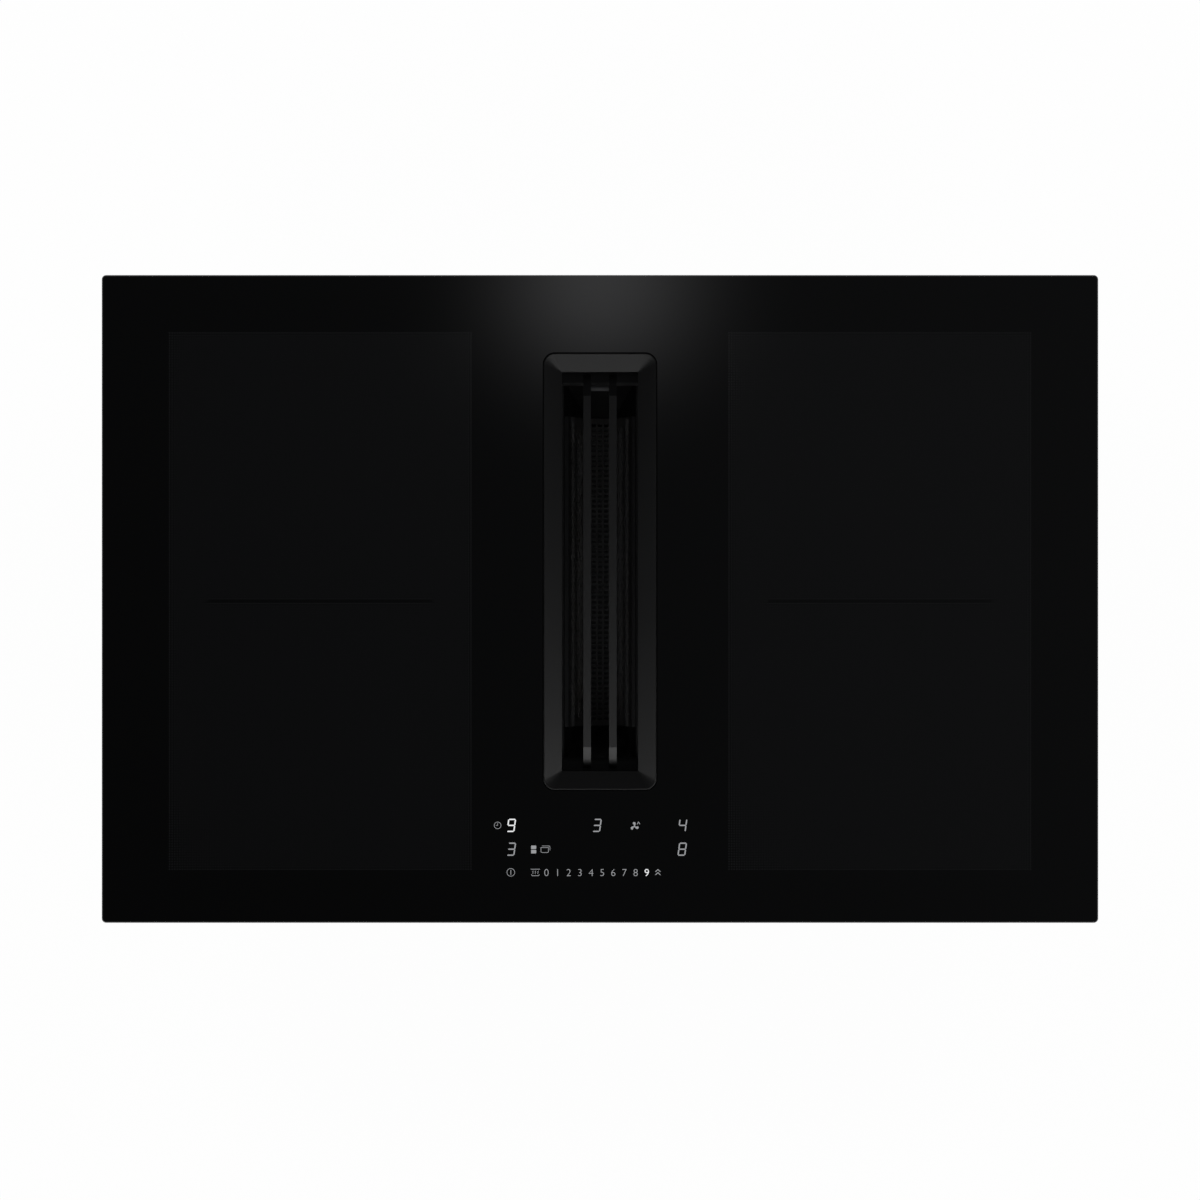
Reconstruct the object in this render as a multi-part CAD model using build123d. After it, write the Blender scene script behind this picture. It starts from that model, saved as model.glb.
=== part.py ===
from build123d import *
import math
import os

# Downdraft induction cooktop. Millimetres, +X right, +Y rear, +Z up.
# The origin is the middle of the underside, straight below the middle of the glass.

# ---------------------------------------------------------------- driving dimensions
# Glass plate and its seat on the worktop
glass_width = 800.0
glass_depth = 520.0
glass_thickness = 6.0
glass_corner_radius = 3.5
glass_edge_chamfer = 0.8
seal_inset = 1.0
seal_width = 7.0
seal_thickness = 1.0
height_below_worktop = 194.0

# Air inlet cover
slot_centre_y = 22.0
cover_width = 90.4
cover_length = 350.4
cover_corner_radius = 9.0
cover_side_gap = 0.8
cover_proud = 0.6
cover_rim_flat = 0.8
cover_rim_round = 0.4
inlet_width = 61.4
inlet_length = 321.0
inlet_corner_radius = 0.6
bevel_drop = 8.0
cover_seal_thickness = 0.8
skirt_wall = 2.5
skirt_drop = 9.6
shelf_drop = 22.6
shelf_thickness = 3.0
shelf_reach = 10.5
shelf_bevel = 2.5
shelf_bevel_drop = 1.0
bar_width = 6.1
bar_centre_x = 10.35
bar_flat_length = 282.6
bar_end_length = 17.0
bar_end_slope = 23.0
bar_end_facet = 8.4
bar_end_radius = 20.0
bar_height = 17.0
cover_taper_margin = 1.0
cover_taper_foot = 4.0
cover_screw_radius = 2.0
cover_screw_land = 0.8
bar_screw_inset = 4.5
bar_hole_depth = 8.0

# Inlet collar and air shaft
collar_ledge_width = 5.2
collar_flange_reach = 12.0
collar_flange_thickness = 2.5
collar_wall = 2.5
collar_depth = 20.5
collar_corner_extra = 1.2
cover_seal_edge = 0.7
shaft_clearance = 0.5
shaft_wall = 2.5
shaft_top_gap = 2.5
shaft_ledge_width = 8.0
shaft_ledge_thickness = 2.0
shaft_ledge_corner = 4.0
shaft_flange_reach = 10.0
shaft_flange_thickness = 2.0
shaft_tail = 14.0
shaft_hole_gap = 0.5

# Grease filter, a hopper with mesh sides
filter_rim_width = 76.0
filter_rim_length = 334.0
filter_rim_thickness = 2.0
filter_top_width = 62.0
filter_top_length = 317.0
filter_floor_width = 27.0
filter_floor_length = 254.0
filter_height = 75.0
filter_wall = 1.5
filter_rim_below_glass = 32.0
filter_gap = 0.1
filter_flange = 3.0
filter_rim_corner = 5.0
filter_window_margin = 7.5
mesh_edge_gap = 2.0
mesh_thickness = 3.0
mesh_slot_length = 8.4
mesh_slot_width = 3.6
mesh_pitch_y = 10.4
mesh_pitch_up = 6.0
floor_sheet = 1.0
floor_slot_length = 3.4
floor_slot_width = 2.3
floor_pitch_x = 5.0
floor_pitch_y = 4.13
floor_columns = 3
tab_width = 17.0
tab_reach = 6.0
tab_drop = 10.0
tab_sheet = 1.2
tab_below_rim = 11.0

# Drip tray
tray_width = 66.0
tray_length = 322.0
tray_height = 46.0
tray_wall = 1.5
tray_corner_radius = 8.0
tray_below_filter = 4.0
tray_lip = 1.0

# Casing under the glass
frame_inset = 13.0
frame_band = 15.0
frame_thickness = 3.0
casing_inset = 3.0
casing_height = 60.0
casing_sheet = 1.0
casing_bend = 1.5
casing_flange = 14.0
casing_corner_radius = 6.0
casing_screw_radius = 1.9
casing_screw_head = 3.6
casing_screw_head_height = 2.2
casing_screw_pitch_x = 240.0
casing_screw_pitch_y = 190.0
casing_screw_line = 0.5
vent_length = 56.0
vent_width = 4.0
vent_pitch = 9.0
vent_rows = 7
exit_vent_length = 34.0
exit_vent_columns = 18
exit_vent_from_front = 38.0

# Induction coils
coil_zone_gap = 3.8
coil_zone_end_margin = 44.0
coil_row_centre_y = -1.85
coil_inner_radius = 28.0
coil_straight = 24.0
litz_diameter = 4.0
litz_pitch = 5.0
mica_thickness = 1.0
mica_overlap = 3.0
mica_end_inset = 2.0
mica_corner_radius = 4.0
coil_gap = 0.2
carrier_thickness = 3.0
carrier_margin = 5.0
carrier_rim = 1.6
carrier_hub_radius = 20.0
carrier_bridge = 16.0
carrier_bridge_lap = 2.0
lead_radius = 2.0
lead_hole_radius = 3.0
ferrite_count = 8
ferrite_length = 58.0
ferrite_width = 14.0
ferrite_thickness = 5.0
ferrite_start = 36.0
sensor_radius = 7.0
buffer_radius = 6.0
buffer_height = 10.0
buffer_circle = 82.0
buffer_turn = 22.5
shield_sheet = 1.5
shield_wall_gap = 9.0
shield_inner_gap = 4.0
shield_end_gap = 18.0
shield_corner_radius = 5.0
post_radius = 4.0
post_outer_inset = 12.0
post_inner_inset = 9.0
post_end_inset = 14.0

# Electronics
board_sheet = 1.6
board_lift = 8.0
power_board_width = 220.0
power_board_depth = 310.0
power_board_inner_x = 120.0
power_board_wall_gap = 28.0
board_foot_inset = 6.0
board_foot_radius = 3.5
board_corner_radius = 3.0
sink_width = 72.0
sink_length = 250.0
sink_base = 5.0
sink_height = 27.0
sink_fin = 1.8
sink_fins = 9
sink_inset = 9.0
transistor_size = (16.0, 20.0, 5.0)
transistor_x = 248.0
transistor_pitch = 60.0
capacitor_size = (22.0, 41.0, 28.0)
capacitor_x = 205.0
capacitor_pitch = 84.0
capacitor_corner = 1.5
choke_radius = 15.0
choke_core = 7.0
choke_x = 160.0
choke_pitch = 104.0
blower_size = 96.0
blower_height = 26.0
blower_wall = 2.0
blower_wall_gap_y = 30.0
blower_rotor_radius = 40.0
blower_hub_radius = 14.0
blower_blades = 11
blower_blade_sheet = 1.6
blower_corner_radius = 8.0
blower_inlet_lip = 8.0
blower_spider = 6.0
blower_spider_hub = 8.0
blower_pin_radius = 2.5
running_gap = 0.05
control_width = 192.0
control_depth = 62.0
control_from_front = 61.5
control_below_glass = 1.0
bracket_thickness = 3.0
bracket_margin = 4.0
bracket_leg = 8.0
bracket_corner_radius = 3.0
display_height = 9.4
display_corner = 0.8
digit_block_width = 14.0
digit_block_depth = 17.0
digit_rows_from_front = (78.2, 59.15)
digit_columns_x = (-71.2, 66.2)
fan_digit_x = -2.4
slider_from_front = 40.3
slider_start_x = -43.0
slider_pitch = 8.95
slider_steps = 11
slider_light_depth = 8.0
touch_radius = 3.0
touch_upper_x = (-82.8, 28.3)
touch_lower_x = (-53.2, -44.2)
touch_front_x = (-71.6, -58.0)

# Fan box under the casing
box_left_x = -95.0
box_right_x = 325.0
box_front_y = -185.0
box_rear_y = 225.0
box_wall = 2.5
box_corner_radius = 14.0
box_floor_round = 3.0
box_seam_round = 0.8
box_split_z = 100.0
ear_size = 14.0
ear_thickness = 4.0
ear_corner_radius = 2.0
ear_lap = 1.0
ear_pitch_x = 130.0
ear_pitch_y = 240.0
ear_rear_inset = 60.0
box_screw_radius = 2.0
box_screw_head = 3.8
box_screw_head_height = 2.4
screw_tip_gap = 0.5
tray_rib = 3.0
tray_rib_inset = 15.0
deck_below_split = 4.0
deck_thickness = 2.5
deck_left_x = 72.0
scroll_wall = 2.4
scroll_radii = (118.0, 110.0, 102.0, 94.0)
scroll_last_turn = 62.0
scroll_axis_y = -20.0
tongue_radius = 6.0
tongue_turn = 196.0
impeller_wall_distance = 124.0
impeller_offset_y = -2.0
impeller_radius = 85.0
impeller_inner_radius = 70.0
impeller_floor_z = 14.0
impeller_height = 74.0
impeller_sheet = 2.0
impeller_blades = 36
blade_sheet = 1.4
blade_sweep = 7.5
blade_bow = 2.4
impeller_hoop_height = 4.0
impeller_hoop_reach = 1.0
impeller_hoop_width = 8.0
hub_cup_radius = 40.2
hub_cup_height = 42.0
hub_cup_wall = 2.0
hub_boss_height = 6.0
inlet_ring_radius = 62.0
inlet_ring_flare = 14.0
inlet_ring_sheet = 1.8
inlet_ring_lap = 4.0
inlet_ring_lip = 2.0
inlet_ring_bulge = 3.6
motor_shaft_radius = 4.0
rotor_cup_radius = 37.8
rotor_cup_sheet = 2.2
rotor_cup_lift = 5.0
motor_shaft_lift = 1.0
stator_radius = 34.0
stator_height = 35.0
bearing_radius = 8.0
bearing_width = 5.0
bearing_low_inset = 1.5
bearing_high_inset = 1.0
motor_plate_radius = 48.0
motor_plate_thickness = 3.0
motor_mount_radius = 6.0
motor_mount_circle = 40.0
motor_mount_height = 5.5

# Duct outlet, the flat 222 x 89 duct size
duct_width = 222.0
duct_height = 89.0
duct_wall = 2.0
duct_corner_radius = 6.0
duct_centre_x = 200.0
duct_reach = 28.0
duct_flange = 3.0
duct_flange_thickness = 2.5
duct_drop = 0.75

# Mains terminal box
terminal_centre_x = -290.0
terminal_centre_y = 20.0
terminal_width = 100.0
terminal_depth = 64.0
terminal_height = 40.0
terminal_wall = 2.0
terminal_corner_radius = 3.0
terminal_inner_corner = 1.5
terminal_block_size = (60.0, 22.0, 18.0)
terminal_block_inset = 14.0
terminal_screws = 5
terminal_screw_pitch = 11.0
terminal_screw_radius = 2.6
terminal_screw_depth = 10.0
lid_sheet = 2.0
lid_edge_round = 0.8
lid_gap = 0.4
hinge_pin_radius = 1.5
hinge_ear = 4.0
hinge_inset = 10.0
hinge_forward = 3.0
hinge_end_gap = 0.5
hinge_ear_radius = 2.7
hinge_knuckle_radius = 2.4
hinge_pin_end = 1.0
gland_bore_radius = 6.5
gland_radius = 10.0
gland_length = 16.0
gland_nut_radius = 13.0
gland_nut_length = 6.0
gland_nut_gap = 1.0
gland_neck = 1.5

# Worktop springs
spring_width = 30.0
spring_sheet = 1.0
spring_reach = 6.0
spring_offset_y = 150.0
spring_top_gap = 4.0
spring_half_height = 18.0

# Wiring
cable_radius = 1.6
cable_bend = 3.4
cable_start_x = -84.0
cable_step_x = -104.0
cable_offset_y = 8.0
cable_board_inset = 8.0

# ---------------------------------------------------------------- derived levels
worktop_z = height_below_worktop
glass_bottom_z = worktop_z + seal_thickness
glass_top_z = glass_bottom_z + glass_thickness
cover_top_z = glass_top_z + cover_proud
cover_seat_z = glass_bottom_z + cover_seal_thickness
bevel_inner_z = cover_top_z - bevel_drop
skirt_bottom_z = bevel_inner_z - skirt_drop
shelf_bottom_z = bevel_inner_z - shelf_drop
shelf_top_z = shelf_bottom_z + shelf_thickness
skirt_width = inlet_width + 2 * skirt_wall
skirt_length = inlet_length + 2 * skirt_wall
hole_width = cover_width + 2 * cover_side_gap
hole_length = cover_length + 2 * cover_side_gap
hole_radius = cover_corner_radius + cover_side_gap

collar_opening_width = cover_width - 2 * collar_ledge_width
collar_opening_length = cover_length - 2 * collar_ledge_width
collar_opening_radius = cover_corner_radius - collar_ledge_width + collar_corner_extra
collar_bottom_z = glass_bottom_z - collar_flange_thickness - collar_depth
collar_tube_width = collar_opening_width + 2 * collar_wall
collar_tube_length = collar_opening_length + 2 * collar_wall

shaft_inner_width = collar_tube_width + 2 * shaft_clearance
shaft_inner_length = collar_tube_length + 2 * shaft_clearance
shaft_inner_radius = collar_opening_radius + collar_wall + shaft_clearance
shaft_outer_width = shaft_inner_width + 2 * shaft_wall
shaft_outer_length = shaft_inner_length + 2 * shaft_wall
shaft_hole = (shaft_outer_width + 2 * shaft_hole_gap, shaft_outer_length + 2 * shaft_hole_gap,
              shaft_inner_radius + shaft_wall + shaft_hole_gap)

frame_width = glass_width - 2 * frame_inset
frame_depth = glass_depth - 2 * frame_inset
casing_width = frame_width - 2 * casing_inset
casing_depth = frame_depth - 2 * casing_inset
glass_front_y = -glass_depth / 2
frame_bottom_z = glass_bottom_z - frame_thickness
casing_bottom_z = frame_bottom_z - casing_height
casing_floor_z = casing_bottom_z + casing_sheet

filter_rim_top_z = glass_top_z - filter_rim_below_glass
filter_seat_z = filter_rim_top_z - filter_rim_thickness
filter_bottom_z = filter_rim_top_z - filter_height
filter_side_slope = (filter_top_width - filter_floor_width) / 2 / filter_height
filter_end_slope = (filter_top_length - filter_floor_length) / 2 / filter_height
tray_top_z = filter_bottom_z - tray_below_filter
tray_bottom_z = tray_top_z - tray_height

coil_centre_x = (glass_width / 2 + hole_width / 2 + coil_zone_gap) / 2
coil_row_pitch = (glass_depth - 2 * coil_zone_end_margin) / 2
coil_room = coil_row_pitch / 2 - carrier_margin - litz_diameter / 2 - coil_inner_radius
coil_turns = int(coil_room / litz_pitch)
coil_half_depth = coil_inner_radius + coil_turns * litz_pitch + litz_diameter / 2 + carrier_margin
coil_half_width = coil_half_depth + coil_straight / 2
mica_width = 2 * (coil_half_width + mica_overlap)
mica_depth = 2 * (coil_row_pitch - mica_end_inset)
mica_bottom_z = glass_bottom_z - mica_thickness
litz_z = mica_bottom_z - coil_gap - litz_diameter / 2
carrier_top_z = litz_z - litz_diameter / 2 - coil_gap
carrier_bottom_z = carrier_top_z - carrier_thickness
shield_top_z = carrier_bottom_z - buffer_height
shield_bottom_z = shield_top_z - shield_sheet
shield_outer_x = casing_width / 2 - casing_sheet - shield_wall_gap
shield_inner_x = control_width / 2 + bracket_margin + shield_inner_gap
shield_width = shield_outer_x - shield_inner_x
shield_depth = casing_depth - 2 * shield_end_gap
shield_centre_x = (shield_outer_x + shield_inner_x) / 2
post_outer_x = shield_outer_x - post_outer_inset
post_inner_x = shield_inner_x + post_inner_inset
blower_gap = (post_outer_x - post_inner_x - 2 * post_radius - 2 * blower_size) / 3
blower_left_x = -(post_outer_x - post_radius - blower_gap - blower_size / 2)
blower_right_x = -(post_inner_x + post_radius + blower_gap + blower_size / 2)
blower_centre_y = casing_depth / 2 - casing_sheet - blower_wall_gap_y - blower_size / 2
power_board_centre_x = power_board_inner_x + power_board_width / 2
power_board_centre_y = -casing_depth / 2 + casing_sheet + power_board_wall_gap + power_board_depth / 2
sink_centre_x = power_board_inner_x + power_board_width - sink_inset - sink_width / 2
control_centre_y = glass_front_y + control_from_front
digit_rows_y = [glass_front_y + distance for distance in digit_rows_from_front]
slider_y = glass_front_y + slider_from_front
exit_vent_y = glass_front_y + exit_vent_from_front
board_z = casing_floor_z + board_lift
board_top_z = board_z + board_sheet
control_top_z = glass_bottom_z - display_height - control_below_glass
control_bottom_z = control_top_z - board_sheet

box_centre_x = (box_left_x + box_right_x) / 2
box_centre_y = (box_front_y + box_rear_y) / 2
box_width = box_right_x - box_left_x
box_depth = box_rear_y - box_front_y
box_top_z = casing_bottom_z
deck_z = box_split_z - deck_below_split
duct_centre_z = (box_wall + deck_z) / 2 - duct_drop
scroll_wall_x = duct_centre_x + duct_width / 2 - duct_wall + scroll_wall / 2
impeller_x = scroll_wall_x - impeller_wall_distance
impeller_y = scroll_axis_y + impeller_offset_y
motor_plate_z = box_wall + motor_mount_height
stator_z = motor_plate_z + motor_plate_thickness

parts = {}


# ---------------------------------------------------------------- helpers
def at(shape, x=0.0, y=0.0, z=0.0):
    """The shape moved by x, y and z."""
    return Pos(x, y, z) * shape


def slab(width, depth, height, radius=0.0):
    """An upright block on z = 0, with rounded upright edges where a radius is given."""
    outline = RectangleRounded(width, depth, radius) if radius else Rectangle(width, depth)
    return extrude(outline, height)


def ring(outer, inner, height):
    """A flat ring on z = 0. Both outlines are (width, depth, corner radius)."""
    return extrude(RectangleRounded(*outer) - RectangleRounded(*inner), height)


def rod(radius, height, bore=0.0):
    """An upright round bar or tube on z = 0."""
    outline = Circle(radius) - Circle(bore) if bore else Circle(radius)
    return extrude(outline, height)


def spots(shape, places):
    """One copy of a shape at each (x, y) place."""
    return [at(shape, x, y) for x, y in places]


def joined(shapes):
    """The shapes fused into one."""
    return shapes[0] + shapes[1:]


def screw(radius, length, head_radius, head_height):
    """A screw pointing up: its head lies under z = 0 and its shank above."""
    return at(rod(head_radius, head_height), z=-head_height) + rod(radius, length)


def wire(points, radius, bend):
    """A round lead along straight runs with arcs at the corners."""
    path = FilletPolyline(*points, radius=bend)
    start = Plane(origin=path @ 0, z_dir=path % 0)
    return sweep(start * Circle(radius), path=path)


def keep(name, shapes):
    """Files one node: a solid, or a list of separate solids."""
    if isinstance(shapes, list):
        shapes = Compound(children=[s for shape in shapes for s in shape.solids()])
    parts[name] = shapes


# ---------------------------------------------------------------- glass and seat
def make_glass():
    """Glass plate with ground edges and the opening for the inlet cover."""
    plate = slab(glass_width, glass_depth, glass_thickness, glass_corner_radius)
    rims = plate.faces().sort_by(Axis.Z)[0].edges() + plate.faces().sort_by(Axis.Z)[-1].edges()
    plate = chamfer(rims, glass_edge_chamfer)
    plate -= at(slab(hole_width, hole_length, glass_thickness, hole_radius), y=slot_centre_y)
    keep("glass_plate", at(plate, z=glass_bottom_z))


def make_rim_seal():
    """Foam seal between the glass and the worktop."""
    width = glass_width - 2 * seal_inset
    depth = glass_depth - 2 * seal_inset
    inner = (width - 2 * seal_width, depth - 2 * seal_width, glass_corner_radius)
    keep("rim_seal", at(ring((width, depth, glass_corner_radius), inner, seal_thickness), z=worktop_z))


# ---------------------------------------------------------------- inlet cover
def make_cover_frame():
    """Bevelled frame: rim, funnel, skirt and an end shelf for the bars at each end."""
    rim = at(slab(cover_width, cover_length, cover_top_z - cover_seat_z, cover_corner_radius), z=cover_seat_z)
    top_edges = rim.faces().sort_by(Axis.Z)[-1].edges()
    rim = fillet(top_edges, cover_rim_round)
    taper_margin = collar_ledge_width + cover_taper_margin
    taper_top = RectangleRounded(cover_width - 2 * taper_margin, cover_length - 2 * taper_margin, 3.0)
    taper_foot = RectangleRounded(skirt_width, skirt_length, 1.0)
    taper_z = skirt_bottom_z + cover_taper_foot
    body = rim + loft([Pos(0, 0, taper_z) * taper_foot, Pos(0, 0, cover_seat_z) * taper_top], ruled=True)
    body += at(slab(skirt_width, skirt_length, taper_z - skirt_bottom_z, 1.0), z=skirt_bottom_z)
    end_wall = slab(skirt_width, shelf_reach + skirt_wall, skirt_bottom_z - shelf_bottom_z)
    for side in (-1, 1):
        end_y = side * (skirt_length - shelf_reach - skirt_wall) / 2
        body += at(end_wall, 0, end_y, shelf_bottom_z)
    mouth = RectangleRounded(
        cover_width - 2 * cover_rim_flat, cover_length - 2 * cover_rim_flat,
        cover_corner_radius - cover_rim_flat,
    )
    throat = RectangleRounded(inlet_width, inlet_length, inlet_corner_radius)
    body -= loft([Pos(0, 0, bevel_inner_z) * throat, Pos(0, 0, cover_top_z) * mouth], ruled=True)
    well = slab(inlet_width, inlet_length, bevel_inner_z - shelf_top_z, inlet_corner_radius)
    body -= at(well, z=shelf_top_z)
    for side in (-1, 1):
        edge = side * (inlet_length / 2 - shelf_reach)
        wedge = make_face(Polyline((edge, shelf_top_z), (edge + side * shelf_bevel, shelf_top_z),
                                   (edge, shelf_top_z - shelf_bevel_drop), close=True))
        body -= extrude(Plane.YZ * wedge, inlet_width / 2, both=True)
    for x, y in bar_screw_places():
        body -= at(rod(cover_screw_radius + filter_gap, shelf_thickness), x, y, shelf_bottom_z)
        body -= at(screw_head_cone(filter_gap), x, y, shelf_bottom_z)
    keep("cover_frame", at(body, y=slot_centre_y))


def bar_screw_places():
    """Where the bars are screwed to the end shelves, about the middle of the slot."""
    end = bar_flat_length / 2 + bar_end_length - bar_screw_inset
    return [(x, y) for x in (-bar_centre_x, bar_centre_x) for y in (-end, end)]


def screw_head_cone(clearance=0.0):
    """Countersunk head, widest at z = 0."""
    depth = shelf_thickness - cover_screw_land
    return extrude(Circle(cover_screw_radius + depth + clearance), depth, taper=45)


def make_cover_bars():
    """Two long bars whose ends slope down, then curve further down to a square end."""
    flat = bar_flat_length / 2
    end = flat + bar_end_length
    tip = flat + bar_end_facet + bar_end_radius * math.tan(math.radians(90 - bar_end_slope) / 2)
    shoulder = bar_height - (tip - flat) * math.tan(math.radians(bar_end_slope))
    outline = Polyline((-tip, -bar_end_radius), (tip, -bar_end_radius), (tip, shoulder), (flat, bar_height),
                       (-flat, bar_height), (-tip, shoulder), close=True)
    profile = make_face(outline)
    profile = fillet(profile.vertices().group_by(Axis.Y)[1], bar_end_radius)
    profile &= Pos(0, bar_height / 2) * Rectangle(2 * end, bar_height)
    bar = extrude(Plane.YZ * profile, bar_width / 2, both=True)
    for name, x in (("cover_bar_left", -bar_centre_x), ("cover_bar_right", bar_centre_x)):
        drilled = at(bar, x)
        for place_x, place_y in bar_screw_places():
            drilled -= at(rod(cover_screw_radius + filter_gap, bar_hole_depth), place_x, place_y)
        keep(name, at(drilled, 0, slot_centre_y, shelf_top_z))
    shank = rod(cover_screw_radius, shelf_thickness + bar_hole_depth - 2 * screw_tip_gap)
    screws = spots(screw_head_cone() + shank, bar_screw_places())
    keep("cover_screws", [at(one, 0, slot_centre_y, shelf_bottom_z) for one in screws])


def make_cover_seal():
    """Soft strip on the collar ledge, under the rim of the cover."""
    edge = cover_seal_edge
    outer = (cover_width - 2 * edge, cover_length - 2 * edge, cover_corner_radius - edge)
    inner = (collar_opening_width + 2 * edge, collar_opening_length + 2 * edge, collar_opening_radius + edge)
    keep("cover_seal", at(ring(outer, inner, cover_seal_thickness), 0, slot_centre_y, glass_bottom_z))


def make_inlet_collar():
    """Collar bonded under the glass: ledge for the cover and a short tube."""
    flange = (
        cover_width + 2 * collar_flange_reach,
        cover_length + 2 * collar_flange_reach,
        cover_corner_radius + collar_flange_reach,
    )
    opening = (collar_opening_width, collar_opening_length, collar_opening_radius)
    tube = (collar_tube_width, collar_tube_length, collar_opening_radius + collar_wall)
    collar = at(ring(flange, opening, collar_flange_thickness), z=glass_bottom_z - collar_flange_thickness)
    collar += at(ring(tube, opening, collar_depth), z=collar_bottom_z)
    keep("inlet_collar", at(collar, y=slot_centre_y))


def make_air_shaft():
    """Shaft between the collar and the fan box, with the ledge that carries the filter."""
    inner = (shaft_inner_width, shaft_inner_length, shaft_inner_radius)
    outer = (shaft_outer_width, shaft_outer_length, shaft_inner_radius + shaft_wall)
    bottom_z = box_top_z - shaft_tail
    top_z = glass_bottom_z - collar_flange_thickness - shaft_top_gap
    shaft = at(ring(outer, inner, top_z - bottom_z), z=bottom_z)
    ledge_hole = (
        shaft_inner_width - 2 * shaft_ledge_width,
        shaft_inner_length - 2 * shaft_ledge_width,
        shaft_ledge_corner,
    )
    ledge_outline = (
        shaft_inner_width + shaft_wall,
        shaft_inner_length + shaft_wall,
        shaft_inner_radius + shaft_wall / 2,
    )
    ledge = ring(ledge_outline, ledge_hole, shaft_ledge_thickness)
    shaft += at(ledge, z=filter_seat_z - shaft_ledge_thickness)
    reach = 2 * shaft_flange_reach
    flange = (outer[0] + reach, outer[1] + reach, outer[2] + shaft_flange_reach)
    flange_hole = (outer[0] - shaft_wall, outer[1] - shaft_wall, outer[2] - shaft_wall / 2)
    shaft += at(ring(flange, flange_hole, shaft_flange_thickness), z=casing_floor_z)
    keep("air_shaft", at(shaft, y=slot_centre_y))


# ---------------------------------------------------------------- grease filter and drip tray
def filter_half_width(z):
    """Outer half width of the hopper at a height."""
    return filter_floor_width / 2 + (z - filter_bottom_z) * filter_side_slope


def filter_half_length(z):
    """Outer half length of the hopper at a height."""
    return filter_floor_length / 2 + (z - filter_bottom_z) * filter_end_slope


def hopper(bottom_z, top_z, inset):
    """Solid hopper between two heights, drawn in by an inset all round."""
    sections = []
    for z in (bottom_z, top_z):
        width = 2 * (filter_half_width(z) - inset)
        length = 2 * (filter_half_length(z) - inset)
        sections.append(Pos(0, 0, z) * Rectangle(width, length))
    return loft(sections, ruled=True)


def make_filter():
    """Filter frame with its rim, two side meshes, perforated floor sheet and lift tab."""
    frame = hopper(filter_bottom_z, filter_rim_top_z, 0.0)
    rim = slab(filter_rim_width, filter_rim_length, filter_rim_thickness, filter_rim_corner)
    frame += at(rim, z=filter_seat_z)
    frame -= hopper(filter_bottom_z + filter_wall, filter_rim_top_z, filter_wall)
    window_length = filter_floor_length - 2 * (filter_wall + filter_flange)
    window_height = filter_height - 2 * filter_window_margin
    window = Box(filter_rim_width, window_length, window_height)
    frame -= at(window, z=filter_bottom_z + filter_height / 2)
    floor_window = Box(filter_floor_width - 2 * (filter_wall + filter_flange), window_length, 4 * filter_wall)
    frame -= at(floor_window, z=filter_bottom_z)
    keep("filter_frame", at(frame, y=slot_centre_y))

    slope = math.atan(filter_side_slope)
    sheet_length = filter_floor_length - 2 * filter_wall - 2 * filter_gap
    lower_z = filter_bottom_z + filter_wall + floor_sheet + mesh_edge_gap
    upper_z = filter_seat_z - mesh_edge_gap
    panel_height = (upper_z - lower_z) / math.cos(slope)
    diamond = Polygon((-mesh_slot_length / 2, 0), (0, -mesh_slot_width / 2), (mesh_slot_length / 2, 0),
                      (0, mesh_slot_width / 2))
    columns = int((sheet_length - mesh_pitch_y) // mesh_pitch_y)
    rows = int((panel_height - mesh_pitch_up) // (2 * mesh_pitch_up))
    net = Rectangle(sheet_length, panel_height)
    net -= GridLocations(mesh_pitch_y, 2 * mesh_pitch_up, columns, rows) * diamond
    net -= GridLocations(mesh_pitch_y, 2 * mesh_pitch_up, columns - 1, rows - 1) * diamond
    middle_z = (lower_z + upper_z) / 2
    middle_x = filter_half_width(middle_z) - filter_wall - filter_gap
    for name, side in (("filter_mesh_left", -1), ("filter_mesh_right", 1)):
        wall = Plane(
            origin=(side * middle_x, slot_centre_y, middle_z),
            x_dir=(0, -side, 0),
            z_dir=(-side * math.cos(slope), 0, math.sin(slope)),
        )
        keep(name, extrude(wall * net, mesh_thickness))

    floor_slot = Rectangle(floor_slot_length, floor_slot_width)
    floor_rows = int((sheet_length - floor_pitch_y) // floor_pitch_y)
    floor_z = filter_bottom_z + filter_wall
    floor_width = 2 * (filter_half_width(floor_z) - filter_wall - filter_gap)
    grid = GridLocations(floor_pitch_x, floor_pitch_y, floor_columns, floor_rows)
    floor = extrude(Rectangle(floor_width, sheet_length) - grid * floor_slot, floor_sheet)
    keep("filter_floor", at(floor, 0, slot_centre_y, floor_z))

    tab_z = filter_rim_top_z - tab_below_rim
    root_low = filter_half_length(tab_z) - filter_wall
    root_high = filter_half_length(tab_z + tab_sheet) - filter_wall
    nose = root_low - tab_reach
    outline = Polyline(
        (root_low, tab_z), (nose + tab_sheet, tab_z), (nose + tab_sheet, tab_z - tab_drop),
        (nose, tab_z - tab_drop), (nose, tab_z + tab_sheet), (root_high, tab_z + tab_sheet), close=True,
    )
    tab = extrude(Plane.YZ * make_face(outline), tab_width / 2, both=True)
    keep("filter_lift_tab", at(tab, y=slot_centre_y))


def make_drip_tray():
    """Tray under the filter that catches what boils over."""
    inner = (tray_width - 2 * tray_wall, tray_length - 2 * tray_wall, tray_corner_radius - tray_wall)
    tray = slab(tray_width, tray_length, tray_height, tray_corner_radius)
    lip = slab(tray_width + 2 * tray_lip, tray_length + 2 * tray_lip, tray_wall, tray_corner_radius + tray_lip)
    tray += at(lip, z=tray_height - tray_wall)
    tray -= at(slab(inner[0], inner[1], tray_height, inner[2]), z=tray_wall)
    keep("drip_tray", at(tray, 0, slot_centre_y, tray_bottom_z))


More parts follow.
